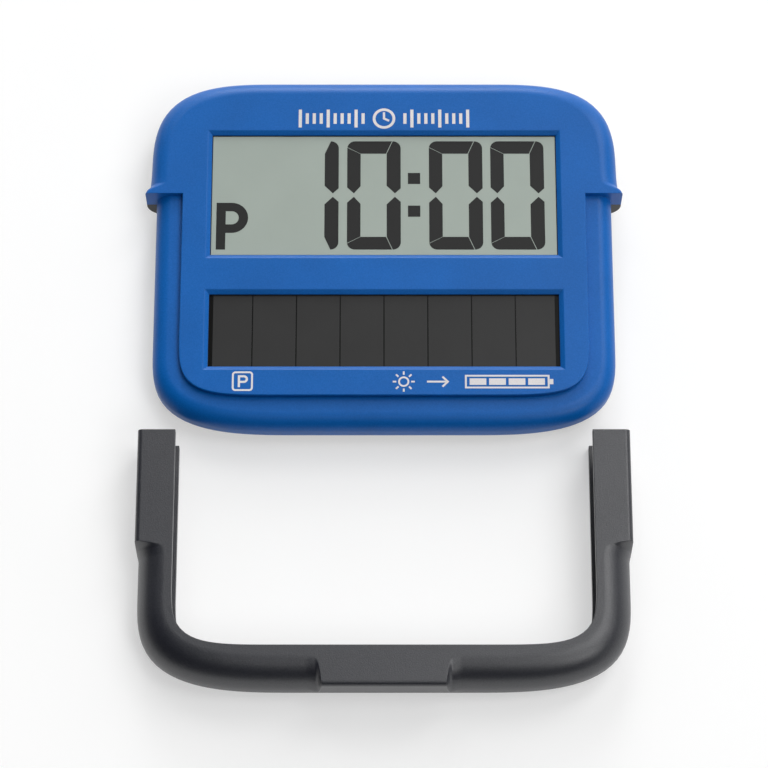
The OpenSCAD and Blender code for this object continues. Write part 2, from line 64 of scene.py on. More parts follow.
# how wide a block is that must reach past the object, how far a cutting solid runs past a face,
# and how far a joined solid runs into its neighbour
WIDE = 90.0
PAST = 1.0
SINK = 0.2
# places of a colour ramp's two ends
RAMP_FROM, RAMP_TO = 0.3, 0.7
LOG = logging.getLogger("parking_disc")

Colour = tuple[float, float, float]
Array = np.ndarray


# --- outlines and lofts


class Mouth(Enum):
    """Which end of an outline is straight: the other end has the two rounded corners."""

    TOP = 1
    BOTTOM = -1


@dataclass(frozen=True)
class Corner:
    """A quarter superellipse: its reaches along X and Y and its power."""

    a: float
    b: float
    n: float

    def grown(self, amount: float) -> "Corner":
        """The same corner with both reaches longer by the amount."""
        return Corner(self.a + amount, self.b + amount, self.n)


@dataclass(frozen=True)
class Outline:
    """A plate outline with one straight end and two superellipse corners.

    Each corner is r(t) = (|cos t / a|^n + |sin t / b|^n)^(-1/n) about its centre. Drawing the
    outline in by d shortens both reaches by d and moves the straight stretches in by d.
    """

    half: float
    low: float
    high: float
    corner: Corner
    mouth: Mouth
    side_marks: tuple[float, ...] = ()
    base_marks: tuple[float, ...] = ()
    corner_steps: int = 32

    def layout(self) -> tuple[Array, Array, Array]:
        """Stations of the ring.

        Returns:
            (runs from the mouth, corner angles, places along the base), each rising.
        """
        span = self.high - self.low - self.corner.b
        side = np.unique([0.0, span, *self.side_marks])
        turn = np.linspace(0.0, math.pi / 2, self.corner_steps + 1)[1:]
        reach = self.half - self.corner.a
        base = np.unique([-reach, reach, *self.base_marks])[1:]
        return side, turn, base

    def ring(self, inset: Array | float) -> Array:
        """The outline drawn in, for one or many levels at once.

        Args:
            inset: distance to draw in, as a number or an array of (levels, 1) or (levels, points).

        Returns:
            Points as an array of (levels, points, 2), counter-clockwise.
        """
        side, turn, base = self.layout()
        count = 2 * side.size + 2 * turn.size + base.size - 1
        given = np.atleast_2d(np.asarray(inset, float))
        d = np.broadcast_to(given, (given.shape[0], count))
        c = self.corner
        cuts = np.cumsum([side.size, turn.size, base.size - 1, turn.size])
        left, arc_l, bottom, arc_r, right = np.split(d, cuts, axis=1)
        height = self.high - self.low

        def bow(dd: Array, angle: Array) -> tuple[Array, Array]:
            """Places on the drawn-in corner at an angle, from its centre.

            Args:
                dd: how far the corner is drawn in, at each place.
                angle: angle from the side, at each place.

            Returns:
                (x, y) of each place.
            """
            u = np.abs(np.cos(angle)) / (c.a - dd)
            v = np.abs(np.sin(angle)) / (c.b - dd)
            r = (u ** c.n + v ** c.n) ** (-1.0 / c.n)
            return r * np.cos(angle), r * np.sin(angle)

        xl, yl = bow(arc_l, turn)
        xr, yr = bow(arc_r, turn[::-1] - turn[0])
        flat = self.half - c.a
        x = np.concatenate([-(self.half - left), -flat - xl, bottom * 0 + base[: base.size - 1],
                            flat + xr, self.half - right], axis=1)
        down = np.concatenate([left * 0 + side, height - c.b + yl, height - bottom,
                               height - c.b + yr, right * 0 + side[::-1]], axis=1)
        if self.mouth is Mouth.TOP:
            return np.stack([x, self.high - down], axis=-1)
        return np.stack([-x, self.low + down], axis=-1)

    def stations(self) -> Array:
        """The outline's own points, as an array of (points, 2)."""
        return self.ring(0.0)[0]


def loft(name: str, rings: Array) -> bpy.types.Object:
    """A closed solid through rings of points, with flat ends.

    Args:
        name: name of the new object.
        rings: array of (levels, points, 3) in millimetres, rising, counter-clockwise from above.

    Returns:
        The new object, with its place in its mesh.
    """
    levels, count, _ = rings.shape
    here = np.arange(count)
    after = (here + 1) % count
    row = (np.arange(levels - 1) * count)[:, None]
    quads = np.stack([row + here, row + after, row + count + after, row + count + here], axis=-1)
    faces = quads.reshape(-1, 4).tolist()
    faces.append(here[::-1].tolist())
    faces.append(((levels - 1) * count + here).tolist())
    return mesh_object(name, rings.reshape(-1, 3), faces)


def mesh_object(name: str, points: Array, faces: Sequence[Sequence[int]]) -> bpy.types.Object:
    """A mesh object from points in millimetres and faces.

    Args:
        name: name of the new object.
        points: array of (points, 3) in millimetres.
        faces: point numbers of each face, counter-clockwise from outside.

    Returns:
        The new object.
    """
    mesh = bpy.data.meshes.new(name)
    mesh.from_pydata((np.asarray(points) * MM).tolist(), [], faces)
    mesh.validate()
    item = bpy.data.objects.new(name, mesh)
    bpy.context.scene.collection.objects.link(item)
    return item


def rounded_levels(low: float, high: float, low_round: Array | float,
                   high_round: Array | float) -> tuple[Array, Array]:
    """Heights and insets of a plate whose edges are rounded by quarter circles.

    At the lower edge the inset is r (1 - sin t) at height low + r (1 - cos t), with t from 0 to a
    right angle, and the upper edge mirrors it. The radii may differ from point to point.

    Args:
        low: height of the lower face.
        high: height of the upper face.
        low_round: radius along the lower edge, one for all or one for each point.
        high_round: radius along the upper edge, one for all or one for each point.

    Returns:
        (heights, insets), each an array of (levels, points).
    """
    t = np.linspace(0.0, math.pi / 2, ROUND_STEPS + 1)[:, None]
    r0 = np.atleast_2d(np.asarray(low_round, float))
    r1 = np.atleast_2d(np.asarray(high_round, float))
    wide = max(r0.shape[1], r1.shape[1])
    zeros = np.zeros((ROUND_STEPS + 1, wide))
    z0 = low + r0 * (1 - np.cos(t)) + zeros
    d0 = r0 * (1 - np.sin(t)) + zeros
    z1 = high - r1 * (1 - np.cos(t[::-1])) + zeros
    d1 = r1 * (1 - np.sin(t[::-1])) + zeros
    if not np.any(r0):
        z0, d0 = z0[:1], d0[:1]
    if not np.any(r1):
        z1, d1 = z1[-1:], d1[-1:]
    return np.concatenate([z0, z1]), np.concatenate([d0, d1])


def plate(name: str, outline: Outline, low: float, high: float, low_round: Array | float = 0.0,
          high_round: Array | float = 0.0, grow: Array | float = 0.0) -> bpy.types.Object:
    """A solid plate on an outline, with rounded edges and an optional swelling of its sides.

    Args:
        name: name of the new object.
        outline: the plate's outline.
        low: height of the lower face.
        high: height of the upper face.
        low_round: radius along the lower edge, one for all or one for each point.
        high_round: radius along the upper edge, one for all or one for each point.
        grow: how far each point of the outline moves out, in one row or in a row for each level.

    Returns:
        The new object.
    """
    z, d = rounded_levels(low, high, low_round, high_round)
    flat = outline.ring(d - np.atleast_2d(grow))
    z = np.broadcast_to(z, flat.shape[:2])
    return loft(name, np.concatenate([flat, z[..., None]], axis=-1))


def stack(name: str, rings: Sequence[Array], heights: Sequence[float]) -> bpy.types.Object:
    """A solid through flat rings at given heights."""
    built = [np.column_stack([ring, np.full(len(ring), z)]) for ring, z in zip(rings, heights)]
    return loft(name, np.array(built))


def circle_points(x: float, y: float, radius: float, count: int = 72) -> Array:
    """Points round a circle, counter-clockwise."""
    t = np.linspace(0.0, 2 * math.pi, count, endpoint=False)
    return np.column_stack([x + radius * np.cos(t), y + radius * np.sin(t)])


def box_points(x0: float, x1: float, y0: float, y1: float) -> Array:
    """The four corners of a rectangle, counter-clockwise."""
    return np.array([[x0, y0], [x1, y0], [x1, y1], [x0, y1]])


def turned(name: str, x: float, y: float, profile: Sequence[tuple[float, float]]) -> bpy.types.Object:
    """A solid of revolution about a line parallel to Z, through (radius, height) pairs, rising."""
    rings = [circle_points(x, y, radius) for radius, _ in profile]
    return stack(name, rings, [height for _, height in profile])


def rod(name: str, x: float, y: float, radius: float, low: float, high: float) -> bpy.types.Object:
    """A round rod parallel to Z, used only to cut or to fill."""
    return turned(name, x, y, [(radius, low), (radius, high)])


def block(name: str, x0: float, x1: float, y0: float, y1: float, z0: float,
          z1: float) -> bpy.types.Object:
    """A rectangular solid, used only to cut or to fill."""
    ring = box_points(x0, x1, y0, y1)
    return stack(name, [ring, ring], [z0, z1])


class Cut(Enum):
    """How one solid acts on another."""

    ADD = "UNION"
    TAKE = "DIFFERENCE"


def combine(base: bpy.types.Object, tools: Sequence[bpy.types.Object], how: Cut) -> None:
    """Joins solids to the base or cuts them from it, and deletes them.

    Args:
        base: the solid that changes.
        tools: the solids that act on it, in order.
        how: whether they are added or taken away.
    """
    for tool in tools:
        change = base.modifiers.new("cut", "BOOLEAN")
        change.operation = how.value
        change.solver = "MANIFOLD"
        change.object = tool
        graph = bpy.context.evaluated_depsgraph_get()
        made = bpy.data.meshes.new_from_object(base.evaluated_get(graph))
        base.modifiers.clear()
        if len(made.polygons) == 0:
            raise RuntimeError(f"{tool.name} left nothing of {base.name}")
        base.data = made
        bpy.data.objects.remove(tool)


def dress(item: bpy.types.Object, finish: bpy.types.Material, smooth_deg: float = 32.0) -> None:
    """Gives a built piece its finish and smooth shading that keeps its sharp edges.

    Args:
        item: the piece.
        finish: its material.
        smooth_deg: edges that turn by more than this stay sharp.
    """
    mesh = item.data
    mesh.materials.clear()
    mesh.materials.append(finish)
    mesh.polygons.foreach_set("use_smooth", np.ones(len(mesh.polygons), dtype=bool))
    mesh.set_sharp_from_angle(angle=math.radians(smooth_deg))
    even = item.modifiers.new("even_normals", "WEIGHTED_NORMAL")
    even.keep_sharp = True
    even.weight = 80


# --- finishes


class Nodes:
    """Small helper that builds one material's node tree."""

    def __init__(self, name: str) -> None:
        """Starts an empty material with a surface shader.

        Args:
            name: name of the material.
        """
        self.material = bpy.data.materials.new(name)
        self.material.use_nodes = True
        self.tree = self.material.node_tree
        self.tree.nodes.clear()
        self.shader = self.tree.nodes.new("ShaderNodeBsdfPrincipled")
        output = self.tree.nodes.new("ShaderNodeOutputMaterial")
        self.link(self.shader.outputs["BSDF"], output.inputs["Surface"])
        self.coords = self.tree.nodes.new("ShaderNodeTexCoord").outputs["Object"]

    def link(self, source: bpy.types.NodeSocket, target: bpy.types.NodeSocket) -> None:
        """Links two sockets."""
        self.tree.links.new(source, target)

    def noise(self, size_mm: float, detail: float = 2.0, rough: float = 0.5) -> bpy.types.NodeSocket:
        """Noise with features of about the given size.

        Args:
            size_mm: size of a feature.
            detail: how many finer layers are added.
            rough: how strong the finer layers are.

        Returns:
            Its value socket.
        """
        node = self.tree.nodes.new("ShaderNodeTexNoise")
        node.inputs["Scale"].default_value = 1.0 / (size_mm * MM)
        node.inputs["Detail"].default_value = detail
        node.inputs["Roughness"].default_value = rough
        self.link(self.coords, node.inputs["Vector"])
        return node.outputs["Fac"]

    def blend(self, factor: bpy.types.NodeSocket, first: Colour, second: Colour) -> bpy.types.NodeSocket:
        """A colour between two, led by a factor.

        Args:
            factor: socket that leads, from 0 to 1.
            first: colour at low values.
            second: colour at high values.

        Returns:
            Its colour socket.
        """
        ramp = self.tree.nodes.new("ShaderNodeValToRGB")
        ramp.color_ramp.elements[0].position = RAMP_FROM
        ramp.color_ramp.elements[0].color = (*first, 1.0)
        ramp.color_ramp.elements[1].position = RAMP_TO
        ramp.color_ramp.elements[1].color = (*second, 1.0)
        self.link(factor, ramp.inputs["Fac"])
        return ramp.outputs["Color"]

    def span(self, source: bpy.types.NodeSocket, low: float, high: float) -> bpy.types.NodeSocket:
        """A value stretched from 0..1 to low..high.

        Args:
            source: socket with the value.
            low: value at 0.
            high: value at 1.

        Returns:
            Its value socket.
        """
        node = self.tree.nodes.new("ShaderNodeMapRange")
        node.inputs["To Min"].default_value = low
        node.inputs["To Max"].default_value = high
        self.link(source, node.inputs["Value"])
        return node.outputs["Result"]

    def relief(self, height: bpy.types.NodeSocket, depth_mm: float, strength: float,
               edge_mm: float = 0.0) -> None:
        """Bump from a height, over edges that the shading softens by a small radius.

        Args:
            height: the height's value socket.
            depth_mm: how deep the relief is.
            strength: how much of it shows.
            edge_mm: radius of the softened edges, or 0 for none.
        """
        bump = self.tree.nodes.new("ShaderNodeBump")
        bump.inputs["Strength"].default_value = strength
        bump.inputs["Distance"].default_value = depth_mm * MM
        self.link(height, bump.inputs["Height"])
        if edge_mm:
            edge = self.tree.nodes.new("ShaderNodeBevel")
            edge.samples = 6
            edge.inputs["Radius"].default_value = edge_mm * MM
            self.link(edge.outputs["Normal"], bump.inputs["Normal"])
        self.link(bump.outputs["Normal"], self.shader.inputs["Normal"])


def shade(colour: Colour, factor: float) -> Colour:
    """A colour made lighter or darker."""
    return tuple(min(1.0, channel * factor) for channel in colour)


@dataclass(frozen=True)
class MouldedPlastic:
    """Spark-eroded moulded plastic: fine grain, faint cloudiness and softened edges."""

    name: str
    colour: Colour
    roughness: float = 0.5
    grain_mm: float = 0.32
    grain_depth_mm: float = 0.03
    grain: float = 0.35
    edge_mm: float = 0.14
    specular: float = 0.5
    cloud_mm: float = 14.0
    clouding: float = 0.05
    speck_shade: float = 0.84
    matting: tuple[float, float] = (-0.06, 0.08)
    sparkle: float = 0.3

    def build(self) -> bpy.types.Material:
        """Builds the node tree.

        Returns:
            The finished material.
        """
        nodes = Nodes(self.name)
        fine = nodes.noise(self.grain_mm, detail=3.0, rough=0.6)
        cloud = nodes.noise(self.cloud_mm)
        dark, light = shade(self.colour, 1 - self.clouding), shade(self.colour, 1 + self.clouding)
        colour = nodes.blend(cloud, dark, light)
        speck = nodes.tree.nodes.new("ShaderNodeMix")
        speck.data_type = "RGBA"
        speck.blend_type = "MULTIPLY"
        speck.inputs["Factor"].default_value = 1.0
        nodes.link(colour, speck.inputs["A"])
        nodes.link(nodes.blend(fine, (self.speck_shade,) * 3, (1.0,) * 3), speck.inputs["B"])
        nodes.link(speck.outputs["Result"], nodes.shader.inputs["Base Color"])
        low, high = (self.roughness + step for step in self.matting)
        nodes.link(nodes.span(fine, low, high), nodes.shader.inputs["Roughness"])
        low, high = self.specular * (1 - self.sparkle), self.specular * (1 + self.sparkle)
        nodes.link(nodes.span(fine, low, high), nodes.shader.inputs["Specular IOR Level"])
        nodes.relief(fine, self.grain_depth_mm, self.grain, self.edge_mm)
        return nodes.material


@dataclass(frozen=True)
class SatinSheet:
    """Smooth film or glass seen as one surface, with a faint unevenness."""

    name: str
    colour: Colour
    roughness: float = 0.35
    specular: float = 0.4
    mottling: float = 0.02
    unevenness: float = 0.03

    def build(self) -> bpy.types.Material:
        """Builds the node tree.

        Returns:
            The finished material.
        """
        nodes = Nodes(self.name)
        cloud = nodes.noise(size_mm=9.0, detail=3.0)
        fine = nodes.noise(size_mm=0.25)
        dark, light = shade(self.colour, 1 - self.mottling), shade(self.colour, 1 + self.mottling)
        nodes.link(nodes.blend(cloud, dark, light), nodes.shader.inputs["Base Color"])
        low, high = self.roughness - self.unevenness, self.roughness + self.unevenness
        nodes.link(nodes.span(fine, low, high), nodes.shader.inputs["Roughness"])
        nodes.shader.inputs["Specular IOR Level"].default_value = self.specular
        nodes.relief(fine, depth_mm=0.004, strength=0.2)
        return nodes.material


@dataclass(frozen=True)
class Metal:
    """Plated or drawn metal with fine scratches."""

    name: str
    colour: Colour
    roughness: float = 0.3
    staining: float = 0.12
    matting: tuple[float, float] = (-0.08, 0.12)

    def build(self) -> bpy.types.Material:
        """Builds the node tree.

        Returns:
            The finished material.
        """
        nodes = Nodes(self.name)
        stain = nodes.noise(size_mm=2.5, detail=4.0)
        fine = nodes.noise(size_mm=0.12)
        dark = shade(self.colour, 1 - self.staining)
        nodes.link(nodes.blend(stain, dark, self.colour), nodes.shader.inputs["Base Color"])
        nodes.shader.inputs["Metallic"].default_value = 1.0
        low, high = (self.roughness + step for step in self.matting)
        nodes.link(nodes.span(stain, low, high), nodes.shader.inputs["Roughness"])
        nodes.relief(fine, depth_mm=0.006, strength=0.25, edge_mm=0.06)
        return nodes.material


@dataclass(frozen=True)
class Rubber:
    """Matt rubber or foam with fine pores."""

    name: str
    colour: Colour
    pore_mm: float = 0.2
    contrast: float = 0.2
    roughness: float = 0.8

    def build(self) -> bpy.types.Material:
        """Builds the node tree.

        Returns:
            The finished material.
        """
        nodes = Nodes(self.name)
        pores = nodes.noise(self.pore_mm, detail=3.0, rough=0.7)
        dark, light = shade(self.colour, 1 - self.contrast), shade(self.colour, 1 + self.contrast)
        nodes.link(nodes.blend(pores, dark, light), nodes.shader.inputs["Base Color"])
        nodes.shader.inputs["Roughness"].default_value = self.roughness
        nodes.relief(pores, depth_mm=0.02, strength=0.4, edge_mm=0.05)
        return nodes.material


@dataclass(frozen=True)
class LayeredRubber:
    """Contact strip of thin black and clear layers laid side by side along X."""

    name: str
    dark: Colour
    light: Colour
    pitch_mm: float = 0.36
    bands_each: float = 3.2
    roughness: float = 0.7

    def build(self) -> bpy.types.Material:
        """Builds the node tree.

        Returns:
            The finished material.
        """
        nodes = Nodes(self.name)
        wave = nodes.tree.nodes.new("ShaderNodeTexWave")
        wave.inputs["Scale"].default_value = 1.0 / (self.pitch_mm * MM * self.bands_each)
        nodes.link(nodes.coords, wave.inputs["Vector"])
        nodes.link(nodes.blend(wave.outputs["Fac"], self.dark, self.light),
                   nodes.shader.inputs["Base Color"])
        nodes.shader.inputs["Roughness"].default_value = self.roughness
        nodes.relief(nodes.noise(size_mm=0.15), depth_mm=0.01, strength=0.3)
        return nodes.material


@dataclass(frozen=True)
class BoardLaminate:
    """Green solder mask over faint copper runs."""

    name: str
    mask: Colour
    copper: Colour
    run_mm: float = 1.6
    roughness: float = 0.35

    def build(self) -> bpy.types.Material:
        """Builds the node tree.

        Returns:
            The finished material.
        """
        nodes = Nodes(self.name)
        cells = nodes.tree.nodes.new("ShaderNodeTexVoronoi")
        cells.distance = "MANHATTAN"
        cells.feature = "F1"
        cells.inputs["Scale"].default_value = 1.0 / (self.run_mm * MM * 2)
        nodes.link(nodes.coords, cells.inputs["Vector"])
        nodes.link(nodes.blend(cells.outputs["Distance"], self.copper, self.mask),
                   nodes.shader.inputs["Base Color"])
        nodes.shader.inputs["Roughness"].default_value = self.roughness
        nodes.relief(cells.outputs["Distance"], depth_mm=0.03, strength=0.3, edge_mm=0.05)
        return nodes.material


class Palette:
    """Every finish of the object, built once and looked up by name."""

    def __init__(self) -> None:
        """Builds all finishes."""
        finishes = [
            MouldedPlastic("blue_plastic", (0.0, 0.117, 0.450), 0.36, specular=0.26),
            MouldedPlastic("black_plastic", (0.014, 0.014, 0.015), 0.45),
            MouldedPlastic("holder_plastic", (0.0095, 0.011, 0.0185), 0.37, 0.28, 0.045, 0.7,
                           specular=1.0),
            MouldedPlastic("button_plastic", (0.06, 0.062, 0.068), 0.42, 0.4, 0.02, 0.2),
            MouldedPlastic("white_plastic", (0.70, 0.70, 0.66), 0.5),
            MouldedPlastic("epoxy", (0.01, 0.01, 0.012), 0.28, 1.2, 0.05, 0.3),
            MouldedPlastic("sleeve_plastic", (0.03, 0.035, 0.05), 0.3, 0.5, 0.01, 0.2),
            MouldedPlastic("ceramic_body", (0.42, 0.30, 0.16), 0.7, 0.2, 0.02, 0.4, 0.05),
            MouldedPlastic("print_ink", (0.76, 0.74, 0.735), 0.6, 0.2, 0.004, 0.2, 0.0),
            SatinSheet("polariser", (0.345, 0.396, 0.357), 0.42, 0.3),
            SatinSheet("segment_dye", (0.015, 0.015, 0.015), 0.42, 0.22),
            SatinSheet("display_glass", (0.33, 0.39, 0.34), 0.12, 0.5),
            SatinSheet("reflector_film", (0.50, 0.54, 0.50), 0.3, 0.5),
            SatinSheet("solar_glass", (0.002, 0.002, 0.002), 0.3, 0.12),
            SatinSheet("solar_film", (0.025, 0.025, 0.025), 0.36, 0.25, 0.05),
            Metal("spring_bronze", (0.72, 0.50, 0.24), 0.3),
            Metal("tinned_metal", (0.66, 0.67, 0.68), 0.35),
            Metal("cell_steel", (0.70, 0.70, 0.71), 0.25),
            Metal("screw_steel", (0.56, 0.57, 0.58), 0.3),
            Rubber("foam", (0.012, 0.012, 0.012)),
            Rubber("seal_rubber", (0.014, 0.014, 0.015), 0.3),
            LayeredRubber("zebra_rubber", (0.02, 0.02, 0.022), (0.30, 0.30, 0.29)),
            BoardLaminate("board_laminate", (0.012, 0.13, 0.06), (0.05, 0.24, 0.09)),
        ]
        self.built = {finish.name: finish.build() for finish in finishes}

    def __getitem__(self, name: str) -> bpy.types.Material:
        """The material of that name."""
        return self.built[name]


# --- layout of the unit


@dataclass
class UnitLayout:
    """Places and sizes that the shells and the holder share, read from the frame where it has them."""

    pad_grow: float = 2.3
    head_grow: float = 1.2
    strip_side: float = 5.9
    strip_foot: float = 6.6
    strip_front: float = 1.5
    strip_back: float = 2.25
    strip_round: float = 3.0
    head_h: float = 28.2
    head_round: float = 4.0
    back_round: float = 5.0
    wall: float = 1.5
    bevel: float = 0.95
    rear_reach: float = 0.23
    parting: float = 5.7
    half_w: float = field(init=False)
    foot: float = field(init=False)
    top: float = field(init=False)
    face: float = field(init=False)
    trunk_corner: Corner = Corner(32.0, 18.1, 3.1)
    head_corner: Corner = Corner(28.2, 22.8, 3.2)
    panel_corner: Corner = Corner(24.1, 16.5, 4.6)

    def __post_init__(self) -> None:
        """Reads the unit's box from the frame."""
        low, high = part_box("rear_cover")
        _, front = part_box("front_housing")
        self.half_w = high[0] / MM - self.pad_grow
        self.foot = low[1] / MM
        self.top = high[1] / MM
        self.face = front[2] / MM

    @property
    def ear(self) -> float:
        """Place of the ears' underside along Y."""
        return self.top - self.head_h

    @property
    def strip_high(self) -> float:
        """Height of the rebate on the face side."""
        return self.face - self.strip_front

    @property
    def ceiling(self) -> float:
        """Height of the inner side of the front wall."""
        return self.face - self.wall - 0.1

    def trunk(self, drawn_in: float = 0.0, past_ear: float = 3.0) -> Outline:
        """Outline of the part that slides in the holder."""
        return Outline(self.half_w - drawn_in, self.foot + drawn_in, self.ear + past_ear,
                       self.trunk_corner.grown(-drawn_in), Mouth.TOP)

    def head(self, drawn_in: float = 0.0, start: float = 0.0,
             marks: tuple[float, ...] = ()) -> Outline:
        """Outline of the head, from the ears' underside to the top edge."""
        return Outline(self.half_w + self.head_grow - drawn_in, self.ear + start,
                       self.top - drawn_in, self.head_corner.grown(-drawn_in), Mouth.BOTTOM,
                       side_marks=marks)

    def panel(self, drawn_in: float = 0.0, past_ear: float = 1.0) -> Outline:
        """Outline of the raised panel inside the rebate."""
        return Outline(self.half_w - self.strip_side - drawn_in, self.foot + self.strip_foot + drawn_in,
                       self.ear + past_ear, self.panel_corner.grown(-drawn_in), Mouth.TOP)


def ease_out(run: Array, length: float, power: float = 2.6) -> Array:
    """Falls from 1 at 0 to 0 at length, steeply at first: (1 - run / length) ^ power."""
    return np.clip(1.0 - np.clip(run, 0.0, None) / length, 0.0, 1.0) ** power


def ease_both(run: Array, length: float) -> Array:
    """Falls from 1 at 0 to 0 at length with level ends: 1 - (3 t^2 - 2 t^3)."""
    t = np.clip(run / length, 0.0, 1.0)
    return 1.0 - t * t * (3.0 - 2.0 * t)


# --- housing shells


@dataclass
class HousingShells:
    """The blue front shell and the black rear shell of the unit."""

    layout: UnitLayout
    palette: Palette
    # windows
    window_side: float = 12.15
    pocket_gap: float = 0.1
    lcd_margin: float = 2.2
    solar_margin: float = 0.9
    # ears, edges and the joint between the shells
    ear_round: float = 0.6
    ear_flat: float = 0.5
    ear_blend: float = 2.3
    ear_fade: float = 2.3
    ear_reach: float = 14.0
    side_band: float = 6.0
    edge: float = 0.2
    bevel_depth: float = 0.65
    strip_split: float = 4.1
    relief_wide: float = 0.35
    relief_high: float = 0.4
    cover_wall: float = 1.5
    tongue_in: tuple[float, float] = (0.2, 0.9)
    tongue_up: float = 0.8
    tongue_down: float = 0.4
    # screws, as steps inward from the sides, the foot and the top
    case_in: tuple[tuple[float, float], ...] = ((12.0, 11.2), (7.7, 9.8))
    board_in: tuple[tuple[float, float], ...] = ((0.85, 3.6), (8.0, 6.5))
    screw_r: float = 1.02
    boss_r: float = 2.3
    boss_z: float = 4.0
    bore_deep: float = 5.0
    screw_seat: tuple[tuple[float, float], ...] = ((2.15, -0.1), (2.05, 0.0), (1.15, 1.1), (1.15, 5.0))
    column_r: float = 2.5
    post_r: float = 1.85
    board_screw_r: float = 0.77
    # battery seat and buttons
    seat_r: float = 13.6
    seat_high: float = 1.0
    collar_r: float = 11.25
    collar_high: float = 5.45
    door_recess_r: float = 13.15
    door_recess_deep: float = 0.9
    lug_way_r: float = 12.6
    mouth_r: float = 11.2
    well_r: float = 10.25
    well_floor: float = 0.5
    inside_high: float = 8.0
    contact_from: float = 9.4
    contact_to: float = 15.4
    contact_half: float = 3.2
    notch_half_deg: float = 17.0
    notch_reach: tuple[float, float] = (6.0, 12.5)
    button_hole_r: float = 3.2

    def ear_marks(self) -> tuple[float, ...]:
        """Stations up the head's side, close together where the ear blends into it."""
        return tuple(np.concatenate([np.linspace(0.1, 3.4, 34), np.linspace(3.6, 5.2, 6)]))

    def ear_shape(self, outline: Outline, regular_round: float) -> tuple[Array, Array]:
        """How the ears swell out of the head, for each point of the head's outline.

        Growth falls off as exp(-run / fade) from the ears' underside, and the front edge's radius
        eases from almost square at the ears to the head's own rounding.

        Args:
            outline: the head's outline.
            regular_round: radius of the front edge away from the ears.

        Returns:
            (radius, growth) as arrays over the outline's points.
        """
        points = outline.stations()
        run = points[:, 1] - outline.low
        on_side = np.abs(points[:, 0]) > outline.half - self.side_band
        near = np.where(on_side, ease_both(run - self.ear_flat, self.ear_blend), 0.0)
        radius = regular_round + (self.ear_round - regular_round) * near
        reach = self.layout.pad_grow - self.layout.head_grow
        growth = np.where(on_side, np.exp(-run / self.ear_fade), 0.0) * reach
        return radius, growth * ease_both(run, self.ear_reach)

    def windows(self) -> list[tuple[float, float, float, float]]:
        """The two openings in the front wall, from the glass behind them.

        Returns:
            One (x0, x1, y0, y1) for the display and one for the solar strip.
        """
        x = self.layout.half_w - self.window_side
        openings = []
        for glass, margin in (("lcd_front_glass", self.lcd_margin), ("solar_panel", self.solar_margin)):
            low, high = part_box(glass)
            openings.append((-x, x, low[1] / MM + margin, high[1] / MM - margin))
        return openings

    def window_cutter(self, name: str, opening: tuple[float, float, float, float]) -> bpy.types.Object:
        """Solid that cuts a bevelled window with a softened lip.

        Args:
            name: name of the solid.
            opening: the window's (x0, x1, y0, y1) at the foot of its bevel.

        Returns:
            The solid.
        """
        face, bevel = self.layout.face, self.layout.bevel
        x0, x1, y0, y1 = opening
        edge, mouth = self.edge, bevel + self.edge * 0.5
        steps = [(-PAST, 0.0), (-self.bevel_depth, 0.0), (-edge * 0.7, bevel - edge),
                 (-edge * 0.3, bevel - edge * 0.15), (0.0, mouth), (PAST, mouth)]
        rings = [box_points(x0 - g, x1 + g, y0 - g, y1 + g) for _, g in steps]
        return stack(name, rings, [face + z for z, _ in steps])

    def centre(self, node: str) -> tuple[float, float]:
        """Middle of a node's box, seen from above."""
        low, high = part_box(node)
        return (low[0] + high[0]) / 2 / MM, (low[1] + high[1]) / 2 / MM

    def screw_places(self) -> tuple[list[tuple[float, float]], list[tuple[float, float]]]:
        """Centres of the case screws and of the board screws, on both sides.

        Returns:
            (case screws, board screws), each a list of (x, y).
        """
        lay = self.layout
        x = lay.half_w - self.window_side
        (_, _, _, lcd_top), (_, _, _, sun_top) = self.windows()
        (low_x, low_y), (high_x, high_y) = self.case_in
        case = [(lay.half_w - low_x, lay.foot + low_y), (lay.half_w - high_x, lay.top - high_y)]
        (low_x, low_y), (high_x, high_y) = self.board_in
        board = [(x - low_x, sun_top + low_y), (x - high_x, lcd_top + high_y)]
        return ([(s * a, b) for a, b in case for s in (-1, 1)],
                [(s * a, b) for a, b in board for s in (-1, 1)])

    def inner_space(self, low: float) -> list[bpy.types.Object]:
        """Solids that hollow out the closed unit above the given height.

        Args:
            low: height from which the space is open.

        Returns:
            Solids for the head, the sliding strip and the panel.
        """
        lay, wall = self.layout, self.layout.wall
        whole = low < self.cover_wall
        floor, deep = max(low, self.cover_wall), wall + 0.1
        rounds = lay.strip_round - wall
        head = plate("space_head", lay.head(deep, wall), floor, lay.ceiling,
                     lay.back_round - wall if whole else 0.0, lay.head_round - wall)
        trunk = plate("space_trunk", lay.trunk(deep, wall + 1.0), max(low, lay.strip_back + wall),
                      lay.strip_high - wall, rounds if whole else 0.0, rounds)
        middle = plate("space_panel", lay.panel(wall + lay.rear_reach, wall + 1.0), floor, lay.ceiling)
        return [head, trunk, middle]

    def strip(self, cut_low: float, cut_high: float) -> bpy.types.Object:
        """The sliding strip all round, without the part between two heights.

        Args:
            cut_low: lower height.
            cut_high: upper height.

        Returns:
            The solid.
        """
        lay = self.layout
        whole = plate("strip", lay.trunk(), lay.strip_back, lay.strip_high, lay.strip_round,
                      lay.strip_round + 0.4)
        combine(whole, [block("cut", -WIDE, WIDE, -WIDE, WIDE, cut_low, cut_high)], Cut.TAKE)
        return whole

    def relief(self) -> bpy.types.Object:
        """Solid that undercuts the step between the raised panel and the sliding strip.

        Returns:
            The solid.
        """
        lay = self.layout
        low, high = lay.strip_high, lay.strip_high + self.relief_high
        ring = plate("relief", lay.panel(-1.0), low, high)
        combine(ring, [plate("core", lay.panel(self.relief_wide, 2.0), low - PAST, high + PAST),
                       block("core", -WIDE, WIDE, lay.ear, lay.ear + 9.0, low - PAST, high + PAST)],
                Cut.TAKE)
        return ring

